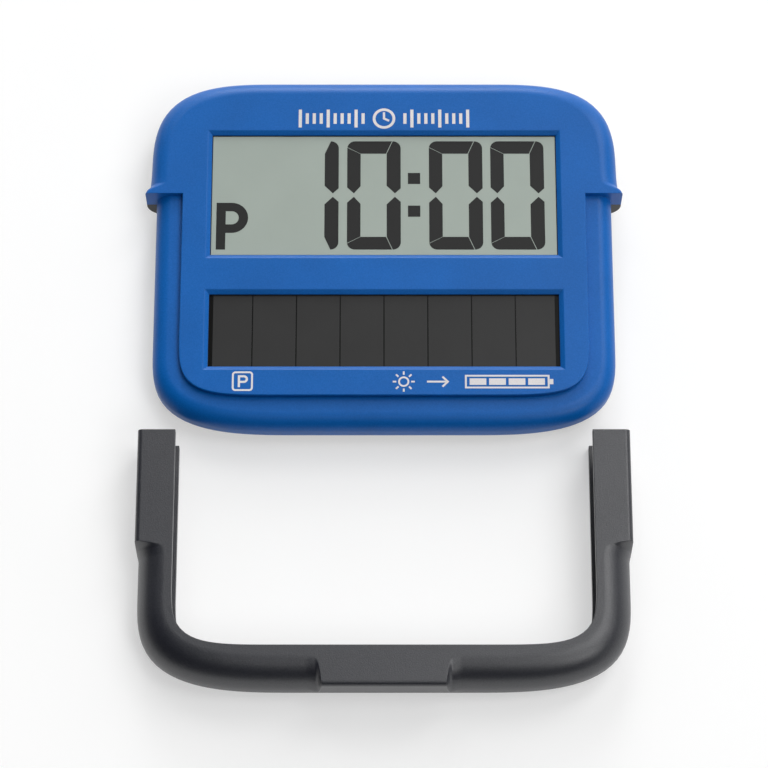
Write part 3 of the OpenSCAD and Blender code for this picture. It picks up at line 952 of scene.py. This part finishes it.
    def front(self) -> bpy.types.Object:
        """The front shell: head with ears, sliding strip, raised panel and two windows.

        Returns:
            The dressed shell.
        """
        lay = self.layout
        outline = lay.head(marks=self.ear_marks())
        radius, growth = self.ear_shape(outline, lay.head_round)
        shell = plate("front_housing_shell", outline, lay.parting, lay.face, 0.0, radius, growth)
        panel = plate("panel", lay.panel(), lay.parting, lay.face, 0.0, self.edge)
        combine(shell, [self.strip(0.0, self.strip_split), panel], Cut.ADD)
        combine(shell, [self.relief(), *self.inner_space(self.strip_split - 1.0)], Cut.TAKE)
        case, board = self.screw_places()
        board_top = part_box("circuit_board")[1][2] / MM
        roof = lay.ceiling + SINK
        posts = [rod("boss", x, y, self.boss_r, self.boss_z, roof) for x, y in case]
        posts += [rod("post", x, y, self.post_r, board_top, roof) for x, y in board]
        combine(shell, posts, Cut.ADD)
        cuts = [rod("bore", x, y, self.screw_r, self.boss_z - PAST, self.boss_z + self.bore_deep)
                for x, y in case]
        cuts += [rod("bore", x, y, self.board_screw_r, board_top - PAST, lay.ceiling - SINK / 2)
                 for x, y in board]
        cuts += [self.pocket("lcd_front_glass", "lcd_gasket"),
                 self.pocket("solar_panel", "solar_gasket")]
        cuts += [self.window_cutter(f"window_{i}", w) for i, w in enumerate(self.windows())]
        combine(shell, cuts, Cut.TAKE)
        dress(shell, self.palette["blue_plastic"])
        return shell

    def pocket(self, glass: str, gasket: str) -> bpy.types.Object:
        """Solid that cuts the seat of a glass and its gasket into the front wall.

        Args:
            glass: node of the glass or panel.
            gasket: node of its gasket.

        Returns:
            The solid.
        """
        low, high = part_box(glass)
        _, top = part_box(gasket)
        gap = self.pocket_gap
        return block("pocket", low[0] / MM - gap, high[0] / MM + gap, low[1] / MM - gap,
                     high[1] / MM + gap, low[2] / MM, top[2] / MM)

    def rear(self) -> bpy.types.Object:
        """The rear shell: rounded back, sliding strip, battery seat, button holes and screw seats.

        Returns:
            The dressed shell.
        """
        lay = self.layout
        outline = lay.head(marks=self.ear_marks())
        _, growth = self.ear_shape(outline, lay.head_round)
        shell = plate("rear_cover_shell", outline, 0.0, lay.parting, lay.back_round, 0.0, growth)
        panel = plate("panel", lay.panel(lay.rear_reach), 0.0, self.strip_split, 0.25, 0.0)
        combine(shell, [self.strip(self.strip_split, lay.face), panel], Cut.ADD)
        combine(shell, self.inner_space(0.0), Cut.TAKE)
        x, y = self.centre("battery_door")
        ring_z = self.cover_wall + self.seat_high
        case, _ = self.screw_places()
        low = self.cover_wall - SINK
        solid = [rod("seat", x, y, self.seat_r, low, ring_z),
                 rod("collar", x, y, self.collar_r, ring_z - SINK, self.collar_high)]
        solid += [rod("column", a, b, self.column_r, low, self.boss_z) for a, b in case]
        combine(shell, solid, Cut.ADD)
        cuts = [rod("mouth", x, y, self.mouth_r, -PAST, ring_z),
                rod("recess", x, y, self.door_recess_r, -PAST, self.door_recess_deep),
                rod("lug_way", x, y, self.lug_way_r, self.cover_wall, ring_z - SINK),
                rod("well", x, y, self.well_r, self.well_floor, self.inside_high),
                block("contact_way", x + self.contact_from, x + self.contact_to,
                      y - self.contact_half, y + self.contact_half, ring_z, self.inside_high)]
        cuts += [self.notch(x, y, turn) for turn in (45.0, 225.0)]
        for node in ("left_button", "right_button"):
            hole = self.button_hole_r
            profile = [(hole + 0.25, -0.1), (hole, 0.15), (hole, self.cover_wall + PAST)]
            cuts.append(turned("button_way", *self.centre(node), profile))
        cuts += [turned("screw_way", a, b, self.screw_seat) for a, b in case]
        combine(shell, cuts, Cut.TAKE)
        dress(shell, self.palette["black_plastic"])
        return shell

    def notch(self, x: float, y: float, turn_deg: float) -> bpy.types.Object:
        """Solid that cuts one bayonet notch through the ledge of the battery mouth.

        Args:
            x: centre of the mouth along X.
            y: centre of the mouth along Y.
            turn_deg: where the notch is, from +X.

        Returns:
            The solid.
        """
        half, (near, far) = self.notch_half_deg, self.notch_reach
        t = np.radians(np.linspace(turn_deg - half, turn_deg + half, 16))
        arc = np.column_stack([np.cos(t), np.sin(t)])
        ring = np.concatenate([arc * far, arc[::-1] * near]) + (x, y)
        return stack("notch", [ring, ring], [-PAST, self.cover_wall + PAST / 2])

    def tongue(self) -> bpy.types.Object:
        """The band that stands up from the rear shell inside the front shell.

        Returns:
            The dressed band.
        """
        lay = self.layout
        outer, inner = (lay.trunk(lay.wall + step) for step in self.tongue_in)
        band = plate("rear_cover_tongue", outer, self.strip_split - self.tongue_down,
                     lay.parting + self.tongue_up)
        combine(band, [plate("band", inner, self.strip_split - 1.0, lay.parting + 2.0),
                       block("band", -WIDE, WIDE, lay.ear - 2.0, lay.ear + 9.0, 0.0, WIDE)], Cut.TAKE)
        dress(band, self.palette["black_plastic"])
        return band

    def build(self) -> list[bpy.types.Object]:
        """Makes the shells and puts them on the unit.

        Returns:
            The front shell, the rear shell and its band.
        """
        front, rear, tongue = self.front(), self.rear(), self.tongue()
        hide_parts("front_housing")
        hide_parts("rear_cover")
        for item, slot in ((front, "blue_plastic"), (rear, "black_plastic"), (tongue, "black_plastic")):
            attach(item, "unit")
        return [front, rear, tongue]


# --- holder


@dataclass
class Holder:
    """The U-shaped channel moulding with its three flat pads."""

    layout: UnitLayout
    palette: Palette
    wall: float = 1.5
    slide_gap: float = 0.25
    flange_gap: float = 0.15
    panel_gap: float = 0.2
    front_round: float = 6.0
    back_round: float = 5.0
    pad_round: float = 1.1
    pad_len: float = 25.0
    foot_half: float = 12.9
    edge_blend: float = 1.5
    wall_blend: float = 3.4
    foot_grow: float = 0.6
    lip: float = 0.12
    seat_gap: float = 0.1
    band: float = 1.5

    def arm_top(self) -> float:
        """Place of the arms' ends along Y."""
        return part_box("holder")[1][1] / MM

    def shift(self) -> float:
        """How far the slid-out holder lies below its seat on the unit, along Y."""
        return self.layout.ear - self.seat_gap - self.arm_top()

    def outline(self, drawn_in: float, corner: Corner, half: float, foot: float, mouth_over: float,
                side_marks: tuple[float, ...] = (), base_marks: tuple[float, ...] = ()) -> Outline:
        """One of the holder's outlines, moved to where the holder lies."""
        return Outline(half - drawn_in, foot + drawn_in - self.shift(), self.arm_top() + mouth_over,
                       corner.grown(-drawn_in), Mouth.TOP, side_marks, base_marks)

    def marks(self) -> tuple[tuple[float, ...], tuple[float, ...]]:
        """Stations along the arms and the bar, close together just past the ends of the pads.

        Returns:
            (runs down an arm from its end, places along the bar).
        """
        past = np.concatenate([np.linspace(0.0, self.edge_blend, 24),
                               np.linspace(self.edge_blend + 0.15, self.wall_blend, 14)])
        foot = self.foot_half + past
        return tuple(self.pad_len + past), tuple(np.concatenate([-foot, foot]))

    def pads(self, outline: Outline) -> tuple[Array, Array]:
        """Where the outside is squared off: radius of the front edge and growth, for each point.

        On a pad the edge is nearly square and the wall stands proud: over its whole height on the
        arms, and only above its lower rounding on the bar. Past the pad's end the edge turns into
        the wide rounding at once, and the wall eases back over a longer stretch.

        Args:
            outline: the holder's outer outline.

        Returns:
            (radius, growth): arrays of (points) and of (levels, points).
        """
        points = outline.stations()
        x, y = np.abs(points[:, 0]), points[:, 1]
        on_side = x > outline.half - self.band
        past_side = np.where(on_side, outline.high - y - self.pad_len, self.wall_blend)
        on_foot = (y < outline.low + self.band) & (x < self.foot_half + self.wall_blend + 0.1)
        past_foot = np.where(on_foot, x - self.foot_half, self.wall_blend)
        past = np.minimum(past_side, past_foot)
        square = ease_out(past, self.edge_blend)
        radius = self.front_round + (self.pad_round - self.front_round) * square
        side_grow = self.layout.pad_grow - self.slide_gap - self.wall
        low = side_grow * ease_both(past_side, self.wall_blend)
        high = low + self.foot_grow * ease_both(past_foot, self.wall_blend)
        return radius, np.repeat(np.stack([low, high]), ROUND_STEPS + 1, axis=0)

    def build(self) -> bpy.types.Object:
        """Makes the holder and puts it on its body.

        Returns:
            The dressed holder.
        """
        lay = self.layout
        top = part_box("holder")[1][2] / MM
        slot_half = lay.half_w + self.slide_gap
        slot_foot = lay.foot - self.slide_gap
        outer = self.outline(-self.wall, lay.trunk_corner.grown(self.slide_gap), slot_half,
                             slot_foot, 0.0, *self.marks())
        radius, growth = self.pads(outer)
        body = plate("holder_channel", outer, 0.0, top, self.back_round, radius, growth)
        slot = self.outline(0.0, lay.trunk_corner.grown(self.slide_gap), slot_half, slot_foot, 1.0)
        channel = plate("channel", slot, lay.strip_back - self.flange_gap,
                        lay.strip_high + self.flange_gap, lay.strip_round - 0.2, lay.strip_round + 0.2)
        half = lay.half_w - lay.strip_side + self.panel_gap
        foot = lay.foot + lay.strip_foot - self.panel_gap
        panel_corner = lay.panel_corner.grown(self.panel_gap)
        gap = self.outline(0.0, panel_corner, half, foot, 1.0)
        rings = [gap.ring(d)[0] for d in (0.0, 0.0, -self.lip * 0.3, -self.lip, -self.lip)]
        front_way = stack("front_way", rings, [lay.face / 2, top - self.lip, top - self.lip * 0.3,
                                               top, top + PAST])
        rear_way = stack("rear_way", [gap.ring(lay.rear_reach)[0]] * 2, [-PAST, lay.face / 2 + PAST])
        combine(body, [channel, front_way, rear_way], Cut.TAKE)
        dress(body, self.palette["holder_plastic"])
        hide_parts("holder")
        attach(body, "holder")
        return body


# --- flat figures


@dataclass
class FlatArt:
    """Thin raised figures gathered into one mesh: each is a closed polygon with a thickness."""

    name: str
    low: float
    high: float
    points: list[Array] = field(default_factory=list)
    faces: list[list[int]] = field(default_factory=list)
    count: int = 0

    def polygon(self, outline: Array) -> None:
        """Adds a prism on a counter-clockwise polygon of (x, y) points.

        Args:
            outline: array of (points, 2).
        """
        n = len(outline)
        ground = np.column_stack([outline, np.full(n, self.low)])
        roof = np.column_stack([outline, np.full(n, self.high)])
        self.points += [ground, roof]
        i = np.arange(n)
        j = (i + 1) % n
        at = self.count
        self.faces.append((at + i[::-1]).tolist())
        self.faces.append((at + n + i).tolist())
        self.faces += (at + np.stack([i, j, n + j, n + i], axis=-1)).tolist()
        self.count += 2 * n

    def stroke(self, path: Array, width: float, closed: bool = False) -> None:
        """Adds a line of even width along a path.

        Each edge of the line lies half a width to one side, along the mean of the normals of the
        two stretches that meet at a point, lengthened so that the width stays even.

        Args:
            path: array of (points, 2) along the middle of the line.
            width: width of the line.
            closed: whether the last point joins the first.
        """
        ends = np.roll(path, -1, axis=0) - path if closed else np.diff(path, axis=0)
        unit = ends / np.linalg.norm(ends, axis=1, keepdims=True)
        normal = np.column_stack([-unit[:, 1], unit[:, 0]])
        if closed:
            before = np.roll(normal, 1, axis=0)
            after = normal
        else:
            before = np.concatenate([normal[:1], normal])
            after = np.concatenate([normal, normal[-1:]])
        mean = before + after
        mean /= np.linalg.norm(mean, axis=1, keepdims=True)
        reach = width / 2 / np.sum(mean * after, axis=1, keepdims=True)
        left, right = path + mean * reach, path - mean * reach
        n = len(path)
        at = self.count
        stack_points = [np.column_stack([side, np.full(n, z)])
                        for z in (self.low, self.high) for side in (right, left)]
        self.points += stack_points
        i = np.arange(n if closed else n - 1)
        j = (i + 1) % n
        right_low, left_low, right_high, left_high = (at + k * n for k in range(4))
        quads = [np.stack([right_high + i, right_high + j, left_high + j, left_high + i], -1),
                 np.stack([left_low + i, left_low + j, right_low + j, right_low + i], -1),
                 np.stack([right_low + i, right_low + j, right_high + j, right_high + i], -1),
                 np.stack([left_high + i, left_high + j, left_low + j, left_low + i], -1)]
        self.faces += np.concatenate(quads).tolist()
        if not closed:
            self.faces.append([left_low, right_low, right_high, left_high])
            e = n - 1
            self.faces.append([right_low + e, left_low + e, left_high + e, right_high + e])
        self.count += 4 * n

    def letter_p(self, x: float, y: float, height: float, line: float, width: float) -> None:
        """Adds a plain parking letter: a stem and a round bowl.

        Args:
            x: left side of the stem.
            y: foot of the stem.
            height: height of the letter.
            line: width of its strokes.
            width: width of the letter.
        """
        bowl = height * 0.645
        radius = (bowl - line) / 2
        centre_y = y + height - bowl / 2
        self.polygon(box_points(x, x + line, y, y + height))
        t = np.linspace(math.pi / 2, -math.pi / 2, 25)
        cx = x + width - line / 2 - radius
        arc = np.column_stack([cx + radius * np.cos(t), centre_y + radius * np.sin(t)])
        start = np.array([[x + line, centre_y + radius]])
        end = np.array([[x + line, centre_y - radius]])
        self.stroke(np.concatenate([start, arc, end]), line)

    def build(self, finish: bpy.types.Material, slot: str, body: str) -> bpy.types.Object:
        """Makes the mesh, dresses it and puts it on a body.

        Args:
            finish: its material.
            slot: its material slot in the record's words; not used.
            body: the body that it moves with.

        Returns:
            The new object.
        """
        item = mesh_object(self.name, np.concatenate(self.points), self.faces)
        item.data.materials.append(finish)
        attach(item, body)
        return item


# --- display


class Bar(Enum):
    """The strokes of a seven-stroke figure."""

    TOP = "a"
    TOP_RIGHT = "b"
    LOW_RIGHT = "c"
    BOTTOM = "d"
    LOW_LEFT = "e"
    TOP_LEFT = "f"


@dataclass
class Display:
    """Figures on the display, and the cells of the solar strip."""

    layout: UnitLayout
    palette: Palette
    digit_w: float = 11.76
    digit_h: float = 26.23
    bar: float = 2.95
    cut: float = 1.42
    gap: float = 0.13
    corner_r: float = 1.75
    foot: float = 1.25
    tip: float = 0.41
    letter: tuple[float, ...] = (-36.65, 11.25, 2.05, 6.95)
    film_low: float = 0.002
    film_high: float = 0.012
    digit_left: tuple[float, ...] = (-21.71, -8.09, 9.88, 23.40)
    colon_x: float = 6.6
    colon_side: float = 2.7
    colon_at: tuple[float, ...] = (9.22, 17.14)
    cell_film: float = 0.02
    cell_margin: float = 0.9
    cell_end: float = 0.95
    cell_gap: float = 0.26
    cell_count: int = 8

    def bars(self) -> dict[Bar, Array]:
        """Outlines of the strokes in a figure whose lower left corner is the origin.

        The right column ends in a steep cut against the top and bottom strokes, the left column
        in a shallow one, and both columns end in points at the middle. Outer corners are quarter
        circles.

        Returns:
            One array of (points, 2) for each stroke.
        """
        w, h, b, r = self.digit_w, self.digit_h, self.bar, self.corner_r
        mid, tip = h / 2, self.tip
        t = np.linspace(0.0, math.pi / 2, 8)
        arc_left = np.column_stack([r - r * np.cos(t), h - r + r * np.sin(t)])
        arc_right = np.column_stack([w - r + r * np.sin(t), h - r + r * np.cos(t)])
        slant = b + 0.1
        top_left = np.array([[0.0, mid + tip + self.cut], [b / 2, mid + tip],
                             [b, mid + tip + self.cut + 0.3], [b, h - slant - 0.07],
                             [0.0, h - r + 0.18]])
        top = np.concatenate([[[b + 0.02, h - slant], [w - b - 0.28, h - slant], [w - b + 1.04, h]],
                              arc_left[::-1][:-1], [[0.0, h - r + 0.3]]])
        inner = w - b - self.gap
        top_right = np.concatenate([[[inner, h - slant], [inner, mid + tip + self.cut + 0.4],
                                     [w - b / 2 + 0.2, mid + tip], [w, mid + tip + self.cut - 0.2]],
                                    arc_right[::-1], [[w - b + 1.19, h]]])
        bottom, low_left, low_right = ((part * (1.0, -1.0) + (0.0, h))[::-1]
                                       for part in (top, top_left, top_right))
        return {Bar.TOP: top, Bar.TOP_LEFT: top_left, Bar.TOP_RIGHT: top_right,
                Bar.BOTTOM: bottom, Bar.LOW_LEFT: low_left, Bar.LOW_RIGHT: low_right}

    def figures(self) -> bpy.types.Object:
        """The shown time, its colon and the parking letter.

        Returns:
            The dressed figures.
        """
        low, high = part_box("front_polariser")
        y, top = low[1] / MM + self.foot, high[2] / MM
        art = FlatArt("display_figures", top + self.film_low, top + self.film_high)
        bars = self.bars()
        lit = [(Bar.TOP_RIGHT, Bar.LOW_RIGHT)] + [tuple(Bar)] * 3
        for left, shown in zip(self.digit_left, lit):
            for bar in shown:
                art.polygon(self.counter_clockwise(bars[bar] + np.array([left, y])))
        half = self.colon_side / 2
        for height in self.colon_at:
            x0, x1 = self.colon_x - half, self.colon_x + half
            art.polygon(box_points(x0, x1, y + height - half, y + height + half))
        x, height, line, width = self.letter
        art.letter_p(x, y, height, line, width)
        return art.build(self.palette["segment_dye"], "polariser", "unit")

    @staticmethod
    def counter_clockwise(points: Array) -> Array:
        """The polygon turned the right way round, by the sign of its shoelace area.

        Args:
            points: array of (points, 2).

        Returns:
            The same points, counter-clockwise.
        """
        x, y = points[:, 0], points[:, 1]
        area = np.sum(x * np.roll(y, -1) - np.roll(x, -1) * y)
        return points if area > 0 else points[::-1]

    def cells(self) -> bpy.types.Object:
        """Dark films of the solar strip, side by side with thin gaps.

        Returns:
            The dressed films.
        """
        low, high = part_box("solar_gasket")
        margin, count = self.cell_margin, self.cell_count
        x0, x1 = low[0] / MM + margin, high[0] / MM - margin
        y0, y1 = low[1] / MM + margin + 0.1, high[1] / MM - margin - 0.1
        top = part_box("solar_panel")[1][2] / MM
        art = FlatArt("solar_cells", top, top + self.cell_film)
        pitch = (x1 - x0) / count
        gaps = [self.cell_end, *[self.cell_gap / 2] * (count - 1), self.cell_end]
        for i in range(count):
            left, right = x0 + i * pitch + gaps[i], x0 + (i + 1) * pitch - gaps[i + 1]
            art.polygon(box_points(left, right, y0, y1))
        return art.build(self.palette["solar_film"], "solar_glass", "unit")

    def build(self) -> list[bpy.types.Object]:
        """Makes the figures and the cells."""
        return [self.figures(), self.cells()]


@dataclass
class Markings:
    """White printing on the face: a minute scale, a parking sign, a sun and a battery."""

    layout: UnitLayout
    palette: Palette
    ink_t: float = 0.015
    ring_line: float = 0.62
    hand_line: float = 0.5
    frame_line: float = 0.4
    arrow_line: float = 0.42
    sun_line: float = 0.38
    clock_r: float = 2.5
    clock_clear: float = 3.6
    tick_half: float = 0.35
    tick_tall: tuple[float, ...] = (4.4, 2.6, 2.6, 2.6)
    sign_r: float = 0.55
    scale_half: float = 18.5
    scale_y: float = 10.0
    tick_count: int = 25
    sign_x: float = -30.27
    sign_y: float = 9.75
    sign_side: float = 4.1
    sun_x: float = 4.22
    battery_x0: float = 17.5
    battery_x1: float = 35.2

    def clock(self, art: FlatArt, x: float, y: float, radius: float) -> None:
        """A ring with two hands.

        Args:
            art: the printing that it is added to.
            x: centre along X.
            y: centre along Y.
            radius: outer radius.
        """
        art.stroke(circle_points(x, y, radius - self.ring_line / 2, 48), self.ring_line, closed=True)
        hands = np.array([[0.0, 0.62], [0.0, 0.0], [0.45, -0.22]]) * radius + (x, y)
        art.stroke(hands, self.hand_line)

    def scale(self, art: FlatArt) -> None:
        """Ticks either side of the clock, every fourth one longer, like a dial laid out flat.

        Args:
            art: the printing that it is added to.
        """
        y, side = self.layout.top - self.scale_y, self.tick_count // 2
        self.clock(art, 0.0, y, self.clock_r)
        for i in range(-side, side + 1):
            x, half, tall = i * self.scale_half / side, self.tick_half, self.tick_tall[i % 4] / 2
            if abs(x) >= self.clock_clear:
                art.polygon(box_points(x - half, x + half, y - tall, y + tall))

    def parking_sign(self, art: FlatArt) -> None:
        """A parking letter in a square frame with rounded corners.

        Args:
            art: the printing that it is added to.
        """
        x, y, half, r = self.sign_x, self.layout.foot + self.sign_y, self.sign_side / 2, self.sign_r
        t = np.linspace(0.0, math.pi / 2, 6)
        quarter = np.column_stack([np.cos(t), np.sin(t)]) * r + (half - r)
        turns = [np.linalg.matrix_power([[0, 1], [-1, 0]], k) for k in range(4)]
        path = np.concatenate([quarter @ turn for turn in turns]) + (x, y)
        art.stroke(path, self.frame_line, closed=True)
        art.letter_p(x - 0.98, y - 1.37, height=2.74, line=0.48, width=2.15)

    def sun(self, art: FlatArt, x: float, y: float) -> None:
        """A ring with eight rays.

        Args:
            art: the printing that it is added to.
            x: centre along X.
            y: centre along Y.
        """
        art.stroke(circle_points(x, y, 1.0, 32), self.sun_line, closed=True)
        for ray in circle_points(0.0, 0.0, 1.0, 8):
            art.stroke(np.array([ray * 1.6, ray * 2.35]) + (x, y), self.sun_line)

    def charge_row(self, art: FlatArt) -> None:
        """A sun, an arrow and a battery with four bars.

        Args:
            art: the printing that it is added to.
        """
        y = self.layout.foot + self.sign_y - 0.1
        self.sun(art, self.sun_x, y)
        art.stroke(np.array([[9.2, y], [13.4, y]]), self.arrow_line)
        art.stroke(np.array([[12.5, y + 1.15], [13.65, y], [12.5, y - 1.15]]), self.arrow_line)
        x0, x1, half = self.battery_x0, self.battery_x1, 1.35
        art.stroke(box_points(x0, x1, y - half, y + half), self.frame_line, closed=True)
        art.polygon(box_points(x1 + 0.22, x1 + 1.0, y - 0.6, y + 0.6))
        width = (x1 - x0 - 1.0) / 4
        for k in range(4):
            left = x0 + 0.5 + k * width + 0.3
            art.polygon(box_points(left, left + width - 0.6, y - 0.75, y + 0.75))

    def build(self) -> bpy.types.Object:
        """Makes the printing as one thin piece.

        Returns:
            The dressed printing.
        """
        art = FlatArt("face_printing", self.layout.face, self.layout.face + self.ink_t)
        self.scale(art)
        self.parking_sign(art)
        self.charge_row(art)
        return art.build(self.palette["print_ink"], "white_plastic", "unit")


# --- kept parts and studio


@dataclass
class InnerParts:
    """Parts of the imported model: each gets its finish by the record's slot."""

    palette: Palette

    def build(self) -> int:
        """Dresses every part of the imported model.

        Returns:
            How many parts there are.
        """
        slots = {row["node"]: row["material_slot"] for row in frame["record"]["subparts"]}
        for node, item in frame["nodes"].items():
            if not item.material_slots:
                item.data.materials.append(None)
            for place in item.material_slots:
                place.link = "OBJECT"
                place.material = self.palette[slots[node]]
        return len(frame["nodes"])


@dataclass(frozen=True)
class Softbox:
    """One light aimed at the object, placed by angles.

    The fields are its tilt from straight up, its turn from +X, the radiance of its surface, its
    width and height, and its distance.
    """

    name: str
    tilt_deg: float
    turn_deg: float
    glow: float
    width: float = 1.17
    height: float = 1.17
    distance: float = 3.0

    def build(self) -> None:
        """Puts the light in the scene. Its power is its radiance times its ellipse's area times pi."""
        tilt, turn = math.radians(self.tilt_deg), math.radians(self.turn_deg)
        away = Vector((math.sin(tilt) * math.cos(turn), math.sin(tilt) * math.sin(turn), math.cos(tilt)))
        data = bpy.data.lights.new(self.name, "AREA")
        data.shape = "ELLIPSE"
        data.size, data.size_y = self.width, self.height
        data.energy = self.glow * self.width * self.height * math.pi * math.pi / 4
        lamp = bpy.data.objects.new(self.name, data)
        lamp.location = away * self.distance
        lamp.rotation_euler = (-away).to_track_quat("-Z", "Y").to_euler()
        bpy.context.scene.collection.objects.link(lamp)


@dataclass
class Studio:
    """Pale floor, soft light mostly from overhead and behind, and the camera."""

    layout: UnitLayout
    tilt_deg: float = 22.0
    distance: float = 0.6838
    lens: float = 150.0
    look_up: float = 9.1
    floor_half: float = 4.0
    floor_z: float = -0.02
    floor_paint: float = 0.56
    floor_glow: float = 0.46
    surround: float = 0.03

    def floor(self) -> None:
        """A wide pale floor just under the object, lit a little from below like a light table."""
        half = self.floor_half / MM
        flat = np.column_stack([box_points(-half, half, -half, half), np.full(4, self.floor_z)])
        item = mesh_object("floor", flat, [[0, 1, 2, 3]])
        nodes = Nodes("floor_paint")
        cloud = nodes.noise(size_mm=60.0)
        paint = (self.floor_paint,) * 3
        nodes.link(nodes.blend(cloud, shade(paint, 0.99), shade(paint, 1.01)),
                   nodes.shader.inputs["Base Color"])
        nodes.shader.inputs["Emission Color"].default_value = (1.0, 1.0, 1.0, 1.0)
        nodes.shader.inputs["Emission Strength"].default_value = self.floor_glow
        nodes.shader.inputs["Roughness"].default_value = 0.9
        nodes.shader.inputs["Specular IOR Level"].default_value = 0.1
        item.data.materials.append(nodes.material)

    def lights(self) -> None:
        """Soft light overhead, to the right and behind, and a low dim band all round."""
        boxes = [Softbox("top_right", 20, 0, 4.6), Softbox("top_back", 24, 62, 2.4),
                 Softbox("top_front", 22, 285, 1.4), Softbox("right_front", 43, 312, 4.4),
                 Softbox("right", 43, 0, 1.9), Softbox("right_back", 43, 51, 4.9),
                 Softbox("back_high", 46, 108, 3.0), Softbox("right_back_low", 62, 45, 2.6),
                 Softbox("back_low", 65, 90, 8.5), Softbox("left_back_low", 62, 135, 1.0)]
        for turn, glow in ((0, 0.6), (90, 2.4), (180, 0.15), (270, 0.05)):
            boxes.append(Softbox(f"band_{turn}", 80, turn, glow, 6.5))
        for box in boxes:
            box.build()
        world = bpy.data.worlds.new("surround")
        world.use_nodes = True
        world.node_tree.nodes["Background"].inputs["Color"].default_value = (1.0, 1.0, 1.0, 1.0)
        world.node_tree.nodes["Background"].inputs["Strength"].default_value = self.surround
        bpy.context.scene.world = world

    def camera(self) -> None:
        """Camera over the lower edge, tilted from the face's normal."""
        data = bpy.data.cameras.new("camera")
        data.lens = self.lens
        data.sensor_width = 36.0
        data.clip_start = 0.01
        item = bpy.data.objects.new("camera", data)
        tilt = math.radians(self.tilt_deg)
        target = Vector((0.0, (self.layout.foot + self.look_up) * MM, self.layout.face * MM))
        item.location = target + Vector((0.0, -math.sin(tilt), math.cos(tilt))) * self.distance
        item.rotation_euler = (tilt, 0.0, 0.0)
        bpy.context.scene.collection.objects.link(item)
        bpy.context.scene.camera = item

    def build(self) -> None:
        """Sets up floor, lights, camera and a plain colour transform."""
        self.camera()
        self.floor()
        self.lights()
        bpy.context.scene.view_settings.view_transform = "Standard"


def main() -> None:
    """Builds the whole look in order and reports each piece."""
    logging.basicConfig(level=logging.INFO, format="%(name)s: %(message)s")
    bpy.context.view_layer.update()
    layout = UnitLayout()
    palette = Palette()
    Studio(layout).build()
    LOG.info("dressed %d packed parts", InnerParts(palette).build())
    pieces = HousingShells(layout, palette).build()
    pieces.append(Holder(layout, palette).build())
    pieces += Display(layout, palette).build()
    pieces.append(Markings(layout, palette).build())
    for piece in pieces:
        LOG.info("%s: %d faces", piece.name, len(piece.data.polygons))


if __name__ == "__main__":
    main()
